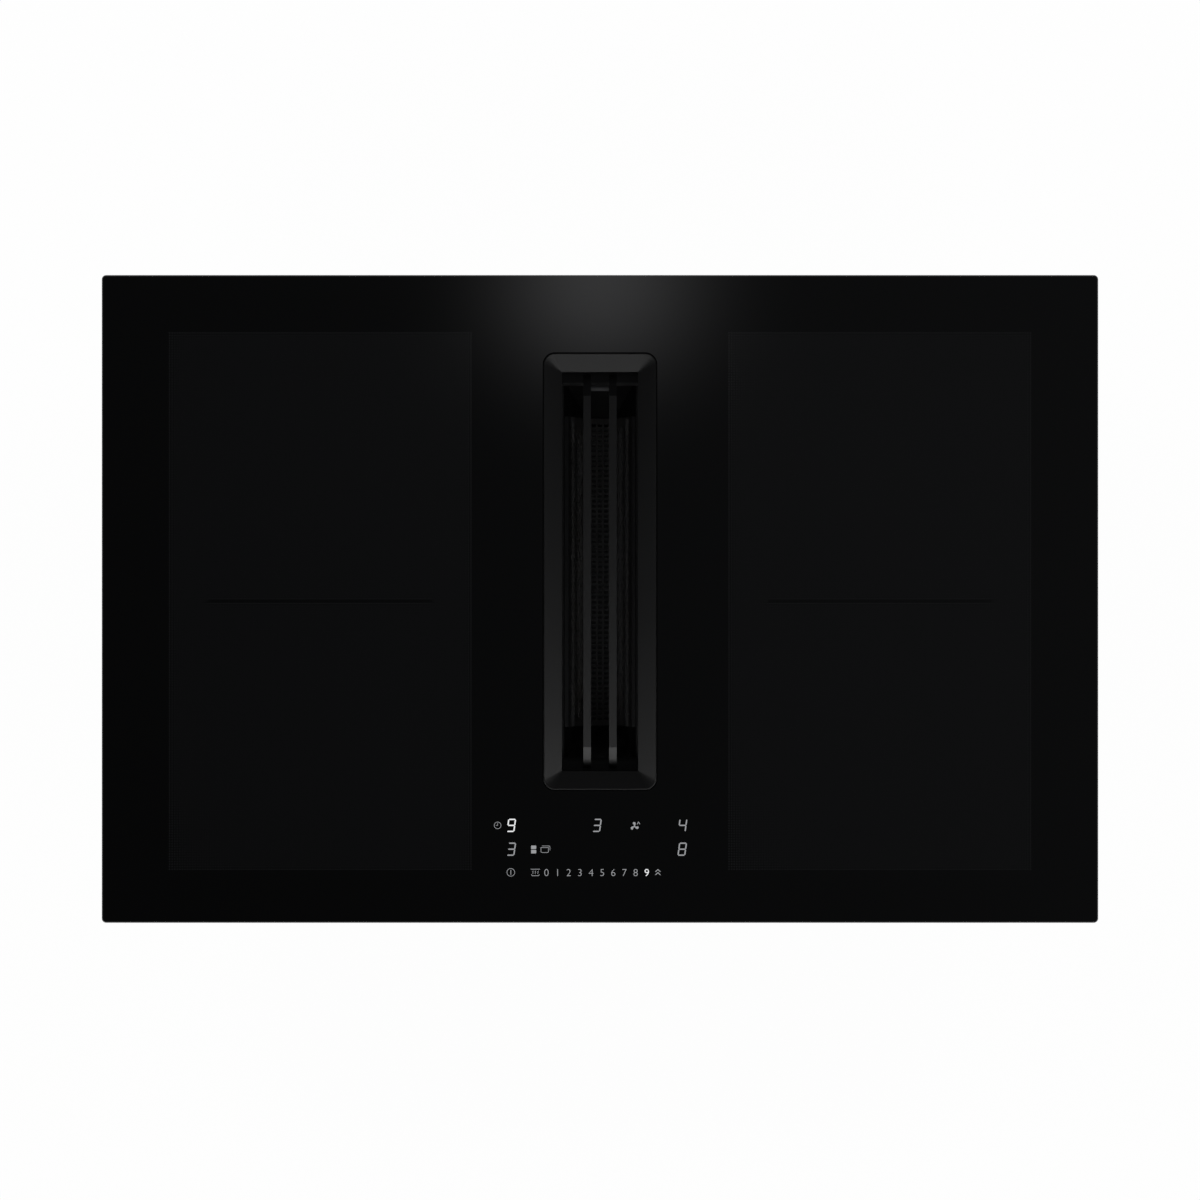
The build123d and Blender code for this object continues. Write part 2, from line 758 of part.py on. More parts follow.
# ---------------------------------------------------------------- casing
def casing_screw_places():
    """Screws through the casing flange into the mounting frame."""
    x = casing_width / 2 - casing_flange / 2
    y = casing_depth / 2 - casing_flange / 2 + casing_screw_line
    along = [(side_x, step * casing_screw_pitch_y) for side_x in (-x, x) for step in (-1, 0, 1)]
    across = [(step * casing_screw_pitch_x, side_y) for side_y in (-y, y) for step in (-1, 0, 1)]
    return along + across


def make_mounting_frame():
    """Frame bonded under the glass, which the casing is screwed to."""
    inner = (frame_width - 2 * frame_band, frame_depth - 2 * frame_band, casing_corner_radius)
    frame = ring((frame_width, frame_depth, casing_corner_radius), inner, frame_thickness)
    frame -= joined(spots(rod(casing_screw_radius + filter_gap, frame_thickness), casing_screw_places()))
    keep("mounting_frame", at(frame, z=frame_bottom_z))


def make_casing():
    """Sheet metal tray with a top flange, the shaft opening and cooling vents."""
    tray = slab(casing_width, casing_depth, casing_height, casing_corner_radius)
    tray = fillet(tray.faces().sort_by(Axis.Z)[0].edges(), casing_bend)
    cavity = slab(casing_width - 2 * casing_sheet, casing_depth - 2 * casing_sheet,
                  casing_height - 2 * casing_sheet, casing_corner_radius - casing_sheet)
    tray -= at(cavity, z=casing_sheet)
    mouth = slab(casing_width - 2 * casing_flange, casing_depth - 2 * casing_flange, casing_height,
                 casing_corner_radius)
    tray -= at(mouth, z=casing_height - casing_sheet)
    tray -= at(slab(*shaft_hole[:2], casing_sheet, shaft_hole[2]), y=slot_centre_y)
    flange_z = casing_height - casing_sheet
    hole = rod(casing_screw_radius + 2 * filter_gap, casing_sheet)
    tray -= [at(one, z=flange_z) for one in spots(hole, casing_screw_places())]
    vent = extrude(SlotOverall(vent_length, vent_width), casing_sheet)
    exit_vent = extrude(SlotOverall(exit_vent_length, vent_width, rotation=90), casing_sheet)
    for blower_x in (blower_left_x, blower_right_x):
        fan_vents = GridLocations(vent_length, vent_pitch, 1, vent_rows) * vent
        tray -= [at(one, blower_x, blower_centre_y) for one in fan_vents]
    for side in (-1, 1):
        exit_vents = GridLocations(vent_pitch, exit_vent_length, exit_vent_columns, 1) * exit_vent
        tray -= [at(one, side * power_board_centre_x, exit_vent_y) for one in exit_vents]
    keep("casing_tray", at(tray, z=casing_bottom_z))
    fastener = screw(casing_screw_radius, casing_sheet + frame_thickness - screw_tip_gap, casing_screw_head,
                     casing_screw_head_height)
    screws = spots(fastener, casing_screw_places())
    keep("casing_screws", [at(one, z=frame_bottom_z - casing_sheet) for one in screws])


def make_worktop_springs():
    """Leaf springs that centre the casing in the cut-out."""
    x = casing_width / 2
    top = frame_bottom_z - spring_top_gap
    middle = top - spring_half_height
    foot = middle - spring_half_height
    outline = Polyline(
        (x, top), (x + spring_sheet, top), (x + spring_reach, middle), (x + 1.5 * spring_sheet, foot),
        (x + 0.5 * spring_sheet, foot), (x + spring_reach - 1.1 * spring_sheet, middle), (x, top - 1.5),
        close=True,
    )
    leaf = extrude(Plane.XZ * make_face(outline), spring_width / 2, both=True)
    springs = []
    for y in (-spring_offset_y, spring_offset_y):
        springs += [at(leaf, y=y), at(mirror(leaf, about=Plane.YZ), y=y)]
    keep("worktop_springs", springs)


# ---------------------------------------------------------------- induction coils
def coil_path():
    """Flat oval spiral of half-turn arcs and short straights, from the inside out."""
    half = coil_straight / 2
    edges = []
    for turn in range(coil_turns):
        low = coil_inner_radius + turn * litz_pitch
        right = low + litz_pitch / 4
        left = low + 3 * litz_pitch / 4
        top = low + litz_pitch / 2
        edges += [
            Edge.make_line((-half, -low), (half, -low)),
            Edge.make_circle(right, Plane((half, litz_pitch / 4, 0)), -90, 90),
            Edge.make_line((half, top), (-half, top)),
            Edge.make_circle(left, Plane((-half, -litz_pitch / 4, 0)), 90, 270),
        ]
    return Wire(edges)


def coil_ends(side):
    """Where the inner and the outer end of a winding lie, about its middle. Right coils are mirrored."""
    x = side * coil_straight / 2
    return [(x, -coil_inner_radius), (x, -coil_inner_radius - coil_turns * litz_pitch)]


def oval(radius):
    """Oval outline that follows the turns of the winding."""
    return SlotCenterToCenter(coil_straight, 2 * radius)


def make_winding():
    """Litz winding as one unbroken tube."""
    start = Plane(origin=(-coil_straight / 2, -coil_inner_radius, 0), z_dir=(1, 0, 0))
    winding = sweep(start * Circle(litz_diameter / 2), path=coil_path())
    print("least gap between turns", round(litz_pitch - litz_diameter, 2))
    return winding


def make_carrier():
    """Coil carrier: plate with an upstanding rim and a bridge for the sensor."""
    outer = coil_half_depth
    plate = oval(outer) - oval(carrier_hub_radius) + Rectangle(
        carrier_bridge, 2 * (carrier_hub_radius + carrier_bridge_lap)
    )
    plate -= [Pos(x, y) * Circle(lead_hole_radius) for x, y in coil_ends(-1)]
    carrier = extrude(plate, carrier_thickness)
    rim = oval(outer) - oval(outer - carrier_rim)
    return carrier + extrude(rim, carrier_thickness + litz_diameter)


def coil_places():
    """Side and middle of each of the four coils."""
    rows = (coil_row_centre_y - coil_row_pitch / 2, coil_row_centre_y + coil_row_pitch / 2)
    return [(side, side * coil_centre_x, y) for side in (-1, 1) for y in rows]


def make_coils():
    """Windings, carriers, ferrites, sensors, buffers and leads of the four coils."""
    left_winding = make_winding()
    left_carrier = make_carrier()
    winding = {-1: left_winding, 1: mirror(left_winding, about=Plane.YZ)}
    carrier = {-1: left_carrier, 1: mirror(left_carrier, about=Plane.YZ)}
    bar = at(slab(ferrite_length, ferrite_width, ferrite_thickness), ferrite_start + ferrite_length / 2)
    windings, carriers, ferrites, sensors, buffers, leads = [], [], [], [], [], []
    for side, x, y in coil_places():
        windings.append(at(winding[side], x, y, litz_z))
        carriers.append(at(carrier[side], x, y, carrier_bottom_z))
        for step in range(ferrite_count):
            turned = Rot(0, 0, step * 360 / ferrite_count) * bar
            ferrites.append(at(turned, x, y, carrier_bottom_z - ferrite_thickness))
        sensors.append(at(rod(sensor_radius, mica_bottom_z - carrier_top_z), x, y, carrier_top_z))
        for step in range(4):
            angle = math.radians(buffer_turn + 90 * step)
            buffers.append(at(rod(buffer_radius, buffer_height), x + buffer_circle * math.cos(angle),
                              y + buffer_circle * math.sin(angle), shield_top_z))
        for end_x, end_y in coil_ends(side):
            lead = rod(lead_radius, litz_z - litz_diameter / 2 - filter_gap - board_top_z)
            leads.append(at(lead, x + end_x, y + end_y, board_top_z))
    keep("coil_windings", windings)
    keep("coil_carriers", carriers)
    keep("ferrite_bars", ferrites)
    keep("coil_sensors", sensors)
    keep("coil_buffers", buffers)
    return leads


def make_mica():
    """Heat-proof sheets between the coils and the glass."""
    sheet = slab(mica_width, mica_depth, mica_thickness, mica_corner_radius)
    sheets = [at(sheet, side * coil_centre_x, coil_row_centre_y, mica_bottom_z) for side in (-1, 1)]
    keep("mica_sheets", sheets)


def shield_post_places(side):
    """Posts that carry a shield plate, outside the boards and blowers."""
    y = shield_depth / 2 - post_end_inset
    return [(side * x, place_y) for x in (post_outer_x, post_inner_x) for place_y in (-y, 0.0, y)]


def make_shields():
    """Aluminium plates that carry the coils. Returns their posts."""
    posts = []
    for name, side in (("shield_plate_left", -1), ("shield_plate_right", 1)):
        plate = Pos(side * shield_centre_x, 0) * RectangleRounded(
            shield_width, shield_depth, shield_corner_radius
        )
        hole = Circle(lead_hole_radius)
        for coil_side, x, y in coil_places():
            if coil_side == side:
                plate -= [Pos(x + end_x, y + end_y) * hole for end_x, end_y in coil_ends(side)]
        keep(name, at(extrude(plate, shield_sheet), z=shield_bottom_z))
        post = rod(post_radius, shield_bottom_z - casing_floor_z)
        posts += [at(one, z=casing_floor_z) for one in spots(post, shield_post_places(side))]
    return posts


# ---------------------------------------------------------------- electronics
def make_power_electronics(shield_posts):
    """Power boards with heat sinks, transistors, capacitors and chokes."""
    boards, sinks, transistors, capacitors, chokes = [], [], [], [], []
    posts = list(shield_posts)
    corner_x = power_board_width / 2 - board_foot_inset
    corner_y = power_board_depth / 2 - board_foot_inset
    for side in (-1, 1):
        board = slab(power_board_width, power_board_depth, board_sheet, board_corner_radius)
        boards.append(at(board, side * power_board_centre_x, power_board_centre_y, board_z))
        feet = GridLocations(2 * corner_x, 2 * corner_y, 2, 2) * rod(board_foot_radius, board_lift)
        posts += [at(one, side * power_board_centre_x, power_board_centre_y, casing_floor_z) for one in feet]
        base = slab(sink_width, sink_length, sink_base)
        fin_pitch = (sink_width - sink_fin) / (sink_fins - 1)
        for step in range(sink_fins):
            fin_x = -sink_width / 2 + sink_fin / 2 + step * fin_pitch
            base += at(slab(sink_fin, sink_length, sink_height), fin_x)
        sinks.append(at(base, side * sink_centre_x, power_board_centre_y, board_top_z))
        for step in (-1.5, -0.5, 0.5, 1.5):
            y = power_board_centre_y + step * transistor_pitch
            transistors.append(at(slab(*transistor_size), side * transistor_x, y, board_top_z))
        for step in (-1, 0, 1):
            y = power_board_centre_y + step * capacitor_pitch
            capacitors.append(at(slab(*capacitor_size, capacitor_corner), side * capacitor_x, y, board_top_z))
        for step in (-1, 1):
            y = power_board_centre_y + step * choke_pitch / 2
            ring_core = Torus(choke_radius, choke_core)
            chokes.append(at(ring_core, side * choke_x, y, board_top_z + choke_core + filter_gap))
    keep("power_boards", boards)
    keep("heat_sinks", sinks)
    keep("support_posts", posts)
    keep("power_transistors", transistors)
    keep("film_capacitors", capacitors)
    keep("filter_chokes", chokes)


def make_blowers():
    """Two small radial blowers that cool the boards: one blows forward, one to the right."""
    cavity_radius = blower_size / 2 - 2 * blower_wall
    housing = slab(blower_size, blower_size, blower_height, blower_corner_radius)
    cavity = rod(cavity_radius, blower_height - 2 * blower_wall)
    mouth = at(slab(blower_size / 2, blower_size / 2, blower_height - 2 * blower_wall), blower_size / 8,
               -blower_size / 4 - blower_wall / 2)
    housing -= at(cavity + mouth, z=blower_wall)
    housing -= rod(blower_rotor_radius - blower_inlet_lip, blower_wall)
    span = blower_size - 4 * blower_wall
    spider = Rectangle(span, blower_spider) + Rectangle(blower_spider, span)
    housing += extrude(spider + Circle(blower_spider_hub), blower_wall)
    housing += rod(blower_pin_radius, blower_height - blower_wall)
    blade_length = blower_rotor_radius - blower_hub_radius + 1.0
    blade_height = blower_height - 4 * blower_wall
    rotor = rod(blower_hub_radius, blade_height) + rod(blower_rotor_radius, blower_wall)
    blade = slab(blade_length, blower_blade_sheet, blade_height)
    blade = at(blade, blower_hub_radius + blade_length / 2 - 1.0)
    rotor += [Rot(0, 0, step * 360 / blower_blades) * blade for step in range(blower_blades)]
    rotor -= rod(blower_pin_radius + running_gap, blade_height)
    housings = []
    for name, x, turn in (("left", blower_left_x, 0), ("right", blower_right_x, 90)):
        housings.append(at(Rot(0, 0, turn) * housing, x, blower_centre_y, casing_floor_z))
        keep("blower_rotor_" + name, at(rotor, x, blower_centre_y, casing_floor_z + 2 * blower_wall))
    keep("blower_housings", housings)


def make_controls():
    """Control board on its bracket, with digit displays, slider lights and touch sensors."""
    bracket_width = control_width + 2 * bracket_margin
    bracket_depth = control_depth + 2 * bracket_margin
    bracket_z = control_bottom_z - bracket_thickness
    bracket = at(slab(bracket_width, bracket_depth, bracket_thickness, bracket_corner_radius), z=bracket_z)
    leg_x = bracket_width / 2 - bracket_leg / 2
    leg_y = bracket_depth / 2 - bracket_leg / 2
    leg = slab(bracket_leg, bracket_leg, bracket_z - casing_floor_z)
    legs = GridLocations(2 * leg_x, 2 * leg_y, 2, 2) * leg
    bracket += [at(one, z=casing_floor_z) for one in legs]
    keep("control_bracket", at(bracket, y=control_centre_y))
    keep("control_board", at(slab(control_width, control_depth, board_sheet, 2.0), 0, control_centre_y,
                             control_bottom_z))
    digit = slab(digit_block_width, digit_block_depth, display_height, display_corner)
    blocks = [at(digit, x, y, control_top_z) for x in digit_columns_x for y in digit_rows_y]
    blocks.append(at(digit, fan_digit_x, digit_rows_y[0], control_top_z))
    slider_length = slider_steps * slider_pitch
    slider_middle = slider_start_x + (slider_steps - 1) * slider_pitch / 2
    slider_light = slab(slider_length, slider_light_depth, display_height, display_corner)
    blocks.append(at(slider_light, slider_middle, slider_y, control_top_z))
    keep("display_modules", blocks)
    sensor = rod(touch_radius, glass_bottom_z - control_top_z)
    places = [(x, digit_rows_y[0]) for x in touch_upper_x] + [(x, digit_rows_y[1]) for x in touch_lower_x]
    places += [(x, slider_y) for x in touch_front_x]
    keep("touch_sensors", [at(one, z=control_top_z) for one in spots(sensor, places)])


# ---------------------------------------------------------------- fan box
def ear_places():
    """Screw ears round the fan box: x, y of the screw."""
    out = ear_size / 2 - ear_lap
    front = [(box_centre_x + step * ear_pitch_x, box_front_y - out) for step in (-1, 0, 1)]
    rear = [(box_left_x + ear_rear_inset, box_rear_y + out)]
    sides = [(x, box_centre_y + step * ear_pitch_y / 2)
             for x in (box_left_x - out, box_right_x + out) for step in (-1, 1)]
    return front + rear + sides


def box_outline(margin=0.0):
    """Outline of the fan box, drawn in by a margin."""
    radius = box_corner_radius - min(margin, box_corner_radius - 1.0)
    shape = RectangleRounded(box_width - 2 * margin, box_depth - 2 * margin, radius)
    return Pos(box_centre_x, box_centre_y) * shape


def make_fan_box():
    """Lower and upper shell of the fan box, and their screws."""
    ear = slab(ear_size, ear_size, ear_thickness, ear_corner_radius)
    hole = rod(box_screw_radius + filter_gap, ear_thickness)
    base = extrude(box_outline(), box_split_z)
    base = fillet(base.faces().sort_by(Axis.Z)[0].edges(), box_floor_round)
    base = fillet(base.faces().sort_by(Axis.Z)[-1].edges(), box_seam_round)
    base += [at(one, z=box_split_z - ear_thickness) for one in spots(ear, ear_places())]
    base -= at(extrude(box_outline(box_wall), box_split_z), z=box_wall)
    base -= [at(one, z=box_split_z - ear_thickness) for one in spots(hole, ear_places())]
    window = Box(duct_width - 2 * duct_wall, 4 * box_wall, duct_height - 2 * duct_wall)
    base -= at(window, duct_centre_x, box_rear_y, duct_centre_z)
    rib = slab(tray_rib, tray_length - 2 * tray_rib_inset, tray_bottom_z - box_wall)
    for x in (-tray_width / 4, tray_width / 4):
        base += at(rib, x, slot_centre_y, box_wall)
    keep("fan_box_base", base)

    lid_height = box_top_z - box_split_z
    lid = extrude(box_outline(), lid_height)
    lid += spots(ear, ear_places())
    lid -= extrude(box_outline(box_wall), lid_height - box_wall)
    lid -= spots(hole, ear_places())
    lid -= at(slab(*shaft_hole[:2], lid_height, shaft_hole[2]), y=slot_centre_y)
    keep("fan_box_lid", at(lid, z=box_split_z))
    length = 2 * ear_thickness - screw_tip_gap
    fastener = screw(box_screw_radius, length, box_screw_head, box_screw_head_height)
    screws = spots(fastener, ear_places())
    keep("fan_box_screws", [at(one, z=box_split_z - ear_thickness) for one in screws])


def scroll_path():
    """Spiral round the impeller and the two walls that widen to the outlet."""
    end_y = box_rear_y - box_wall
    start = (scroll_wall_x, scroll_axis_y)
    edges = [Line((scroll_wall_x, end_y), start)]
    heading = Vector(0, -1)
    point = Vector(*start)
    for index, radius in enumerate(scroll_radii):
        turn = scroll_last_turn if index == len(scroll_radii) - 1 else 90.0
        arc = JernArc(point, heading, radius, -turn)
        edges.append(arc)
        point, heading = arc @ 1, arc % 1
    tongue = JernArc(point, heading, tongue_radius, tongue_turn)
    left_x = duct_centre_x - duct_width / 2 + duct_wall - scroll_wall / 2
    edges += [tongue, Line(tongue @ 1, (left_x, end_y))]
    return edges


def make_scroll():
    """Scroll wall and the deck that closes it, with the inlet ring."""
    outline = trace([edge for line in scroll_path() for edge in line.edges()], scroll_wall)
    wall = extrude(outline, deck_z - box_wall) & extrude(box_outline(box_wall), deck_z - box_wall)
    keep("fan_scroll", at(wall, z=box_wall))
    right_x = box_right_x - box_wall - filter_gap
    front_y = box_front_y + box_wall + filter_gap
    rear_y = box_rear_y - box_wall - filter_gap
    deck = RectangleRounded(right_x - deck_left_x, rear_y - front_y, box_corner_radius - box_wall)
    deck = Pos((right_x + deck_left_x) / 2, (front_y + rear_y) / 2) * deck
    opening = inlet_ring_radius + inlet_ring_sheet + filter_gap
    deck -= Pos(impeller_x, impeller_y) * Circle(opening)
    keep("fan_deck", at(extrude(deck, deck_thickness), z=deck_z))
    low_z = impeller_floor_z + impeller_height - inlet_ring_lap
    lip_z = deck_z + deck_thickness
    flare_z = lip_z + inlet_ring_flare - inlet_ring_sheet
    inner = inlet_ring_radius
    outer = inner + inlet_ring_sheet
    wide = inner + inlet_ring_flare
    profile = Polyline((inner, low_z), (inner, lip_z)).edges() + [
        ThreePointArc((inner, lip_z), (inner + inlet_ring_bulge, flare_z - inlet_ring_bulge),
                      (wide - inlet_ring_lip, flare_z)),
    ]
    back = [
        Line((wide - inlet_ring_lip, flare_z), (wide, flare_z)),
        Line((wide, flare_z), (wide, lip_z)),
        Line((wide, lip_z), (outer, lip_z)),
        Line((outer, lip_z), (outer, low_z)),
        Line((outer, low_z), (inner, low_z)),
    ]
    face = make_face([edge for line in profile + back for edge in line.edges()])
    keep("inlet_ring", at(revolve(Plane.XZ * face, Axis.Z), impeller_x, impeller_y))


def make_impeller():
    """Blade drum with its hub cup, turning on the motor."""
    top_z = impeller_height
    drum = rod(impeller_radius, impeller_sheet, hub_cup_radius - 1.0)
    cup_wall = hub_cup_wall
    drum += rod(hub_cup_radius, hub_cup_height, hub_cup_radius - cup_wall)
    lid = rod(hub_cup_radius, cup_wall, motor_shaft_radius + filter_gap)
    boss = rod(2 * motor_shaft_radius, hub_boss_height, motor_shaft_radius + filter_gap)
    drum += at(lid + boss, z=hub_cup_height - cup_wall)
    hoop_radius = impeller_radius + impeller_hoop_reach
    hoop = rod(hoop_radius, impeller_hoop_height, hoop_radius - impeller_hoop_width)
    drum += at(hoop, z=top_z - impeller_hoop_height)
    tip = impeller_radius - 1.0
    middle = (impeller_inner_radius + (tip - impeller_inner_radius) * 7.5 / 14, blade_bow)
    curve = ThreePointArc((impeller_inner_radius, 0), middle, (tip, blade_sweep))
    blade = extrude(trace(curve, blade_sheet), top_z - impeller_sheet / 2 - impeller_hoop_height / 2)
    blade = at(blade, z=impeller_sheet / 2)
    drum += [Rot(0, 0, step * 360 / impeller_blades) * blade for step in range(impeller_blades)]
    keep("impeller", at(drum, impeller_x, impeller_y, impeller_floor_z))


def make_motor():
    """External-rotor motor: rotor cup, shaft, bearings, stator, plate and rubber mounts."""
    place = (impeller_x, impeller_y)
    cup_top = impeller_floor_z + hub_cup_height - hub_cup_wall - 2 * filter_gap
    cup_bottom = stator_z + rotor_cup_lift
    cup = rod(rotor_cup_radius, cup_top - cup_bottom, rotor_cup_radius - rotor_cup_sheet)
    top = rod(rotor_cup_radius, rotor_cup_sheet, motor_shaft_radius + filter_gap)
    cup += at(top, z=cup_top - cup_bottom - rotor_cup_sheet)
    keep("rotor_cup", at(cup, *place, cup_bottom))
    shaft_low = stator_z + motor_shaft_lift
    shaft_top = impeller_floor_z + hub_cup_height + hub_boss_height
    keep("motor_shaft", at(rod(motor_shaft_radius, shaft_top - shaft_low), *place, shaft_low))
    bore = bearing_radius + running_gap
    stator = rod(stator_radius, stator_height, bore)
    keep("motor_stator", at(stator, *place, stator_z))
    bearing = rod(bearing_radius, bearing_width, motor_shaft_radius + running_gap)
    levels = (stator_z + bearing_low_inset, stator_z + stator_height - bearing_width - bearing_high_inset)
    keep("motor_bearings", [at(bearing, *place, z) for z in levels])
    plate = rod(motor_plate_radius, motor_plate_thickness)
    keep("motor_plate", at(plate, *place, motor_plate_z))
    mounts = []
    for step in range(3):
        angle = math.radians(90 + 120 * step)
        x = impeller_x + motor_mount_circle * math.cos(angle)
        y = impeller_y + motor_mount_circle * math.sin(angle)
        mounts.append(at(rod(motor_mount_radius, motor_mount_height), x, y, box_wall))
    keep("motor_mounts", mounts)


def make_outlet():
    """Outlet spigot for a flat duct, on the rear wall of the fan box."""
    bore = RectangleRounded(duct_width - 2 * duct_wall, duct_height - 2 * duct_wall,
                            duct_corner_radius - duct_wall)
    tube = RectangleRounded(duct_width, duct_height, duct_corner_radius) - bore
    collar = RectangleRounded(duct_width + 2 * duct_flange, duct_height + 2 * duct_flange,
                              duct_corner_radius + duct_flange) - bore
    spigot = extrude(tube, duct_reach) + extrude(collar, duct_flange_thickness)
    rear = Plane(origin=(duct_centre_x, box_rear_y, duct_centre_z), x_dir=(-1, 0, 0), z_dir=(0, 1, 0))
    keep("outlet_spigot", rear * spigot)


# ---------------------------------------------------------------- mains connection
def make_terminal_box():
    """Terminal box under the casing, with a hinged lid, the terminal block and the cable gland."""
    low_z = casing_bottom_z - terminal_height
    front_y = terminal_centre_y - terminal_depth / 2
    rear_y = terminal_centre_y + terminal_depth / 2
    shell = slab(terminal_width, terminal_depth, terminal_height, terminal_corner_radius)
    shell -= slab(terminal_width - 2 * terminal_wall, terminal_depth - 2 * terminal_wall,
                  terminal_height - terminal_wall, terminal_inner_corner)
    box = at(shell, terminal_centre_x, terminal_centre_y, low_z)
    gland_z = casing_bottom_z - terminal_height / 2
    mouth = (terminal_centre_x, rear_y - terminal_wall, gland_z)
    along_y = Plane(origin=mouth, x_dir=(-1, 0, 0), z_dir=(0, 1, 0))
    box -= along_y * rod(gland_radius - gland_neck + filter_gap, terminal_wall)
    ear_x = terminal_width / 2 - hinge_inset
    hinge_y = front_y - hinge_forward
    hinge_z = low_z - lid_gap - lid_sheet / 2
    across = Plane(origin=(0, hinge_y, hinge_z), x_dir=(0, 1, 0), z_dir=(1, 0, 0))
    ear_outline = Circle(hinge_ear_radius) + Pos(0, 4.5) * Rectangle(5.0, 7.0)
    ear_outline += Pos(hinge_forward - 1.0, 5.0) * Rectangle(5.0, 6.0)
    ear_outline -= Circle(hinge_pin_radius + running_gap)
    for side in (-1, 1):
        ear = extrude(across * ear_outline, hinge_ear / 2, both=True)
        box += at(ear, terminal_centre_x + side * ear_x)
    keep("terminal_box", box)

    lid = slab(terminal_width, terminal_depth, lid_sheet, terminal_corner_radius)
    lid = fillet(lid.faces().sort_by(Axis.Z)[0].edges(), lid_edge_round)
    lid = at(lid, terminal_centre_x, terminal_centre_y, low_z - lid_gap - lid_sheet)
    half_knuckle = ear_x - hinge_ear / 2 - hinge_end_gap
    tongue = hinge_forward + 1.0
    knuckle = extrude(across * Circle(hinge_knuckle_radius), half_knuckle, both=True)
    knuckle += extrude(across * Pos(tongue / 2, 0) * Rectangle(tongue, lid_sheet), half_knuckle, both=True)
    pin = extrude(across * Circle(hinge_pin_radius), ear_x + hinge_ear / 2 + hinge_pin_end, both=True)
    keep("terminal_lid", lid + at(knuckle + pin, terminal_centre_x))

    block = slab(*terminal_block_size)
    screw_well = rod(terminal_screw_radius, terminal_screw_depth)
    block -= GridLocations(terminal_screw_pitch, 1.0, terminal_screws, 1) * screw_well
    keep("terminal_block", at(block, terminal_centre_x, front_y + terminal_wall + terminal_block_inset,
                              casing_bottom_z - terminal_wall - terminal_block_size[2]))

    body = rod(gland_radius, gland_length, gland_bore_radius)
    body -= rod(gland_radius, terminal_wall, gland_radius - gland_neck)
    nut = extrude(RegularPolygon(gland_nut_radius, 6) - Circle(gland_bore_radius), gland_nut_length)
    body += at(nut, z=terminal_wall + gland_nut_gap)
    keep("cable_gland", along_y * body)


def make_wiring(coil_leads):
    """Leads inside the casing."""
    keep("coil_leads", coil_leads)
    y = control_centre_y + cable_offset_y
    start_z = control_bottom_z - bracket_thickness
    board_edge = -power_board_centre_x + power_board_width / 2 - cable_board_inset
    points = [(cable_start_x, y, start_z), (cable_start_x, y, board_z + 24.0),
              (cable_step_x, y + 1.0, board_top_z + 13.0), (board_edge, y + 3.0, board_top_z + 9.0),
              (board_edge, y + 3.0, board_top_z)]
    keep("control_cable", wire(points, cable_radius, cable_bend))


def main():
    make_glass()
    make_rim_seal()
    make_cover_frame()
    make_cover_bars()
    make_cover_seal()
    make_inlet_collar()
    make_air_shaft()
    make_filter()
    make_drip_tray()
    make_mounting_frame()
    make_casing()
    make_worktop_springs()
    coil_leads = make_coils()
    make_mica()
    make_power_electronics(make_shields())
    make_blowers()
    make_controls()
    make_fan_box()
    make_scroll()
    make_impeller()
    make_motor()
    make_outlet()
    make_terminal_box()
    make_wiring(coil_leads)
    os.makedirs("parts", exist_ok=True)
    for name, shape in parts.items():
        export_step(shape, "parts/" + name + ".step")
    print(len(parts), "nodes")


main()
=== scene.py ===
"""Looks of a downdraft induction cooktop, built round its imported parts. Metres, +X right, +Y rear, +Z up."""

import math

import bmesh
import bpy
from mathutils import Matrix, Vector


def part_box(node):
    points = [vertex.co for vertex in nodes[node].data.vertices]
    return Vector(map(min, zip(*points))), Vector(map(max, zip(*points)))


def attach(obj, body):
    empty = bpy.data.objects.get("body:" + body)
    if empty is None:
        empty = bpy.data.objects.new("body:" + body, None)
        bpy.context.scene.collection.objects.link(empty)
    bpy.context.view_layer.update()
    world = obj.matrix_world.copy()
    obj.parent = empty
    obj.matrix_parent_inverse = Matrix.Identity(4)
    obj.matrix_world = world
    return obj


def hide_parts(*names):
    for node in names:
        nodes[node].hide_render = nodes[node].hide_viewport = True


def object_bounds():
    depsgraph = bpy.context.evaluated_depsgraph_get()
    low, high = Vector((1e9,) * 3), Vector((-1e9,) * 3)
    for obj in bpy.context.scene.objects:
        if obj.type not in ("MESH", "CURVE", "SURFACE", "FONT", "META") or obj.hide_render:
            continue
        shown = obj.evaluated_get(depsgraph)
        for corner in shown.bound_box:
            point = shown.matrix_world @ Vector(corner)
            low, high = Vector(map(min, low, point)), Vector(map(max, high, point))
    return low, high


bl_info = {
    "name": "Downdraft Induction Cooktop",
    "version": (1, 0, 0),
    "blender": (4, 5, 0),
    "location": "3D View > Sidebar > Cooktop",
    "description": "Finishes, printed marks, fasteners and stage of a cooktop with a central air inlet",
    "category": "Object",
}

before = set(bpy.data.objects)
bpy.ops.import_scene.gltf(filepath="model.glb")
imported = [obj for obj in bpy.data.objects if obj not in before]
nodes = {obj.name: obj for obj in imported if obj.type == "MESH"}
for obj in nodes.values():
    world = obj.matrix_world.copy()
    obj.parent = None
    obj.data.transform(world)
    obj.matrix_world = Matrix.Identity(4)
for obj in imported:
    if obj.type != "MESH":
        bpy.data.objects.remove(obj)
cad_low, cad_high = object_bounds()

MM = 0.001
WHITE, BLACK = (1.0, 1.0, 1.0), (0.0, 0.0, 0.0)
glass_low, glass_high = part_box("glass_plate")
glass_top = glass_high.z


# ---------------------------------------------------------------- sizes and colours
def length(name, description, default):
    """A length that a user may change."""
    return bpy.props.FloatProperty(name=name, description=description, default=default, unit="LENGTH", precision=5)


def colour(name, description, default):
    """A colour that a user may change."""
    return bpy.props.FloatVectorProperty(name=name, description=description, default=default, subtype="COLOR",
                                         size=3, min=0.0, max=1.0)


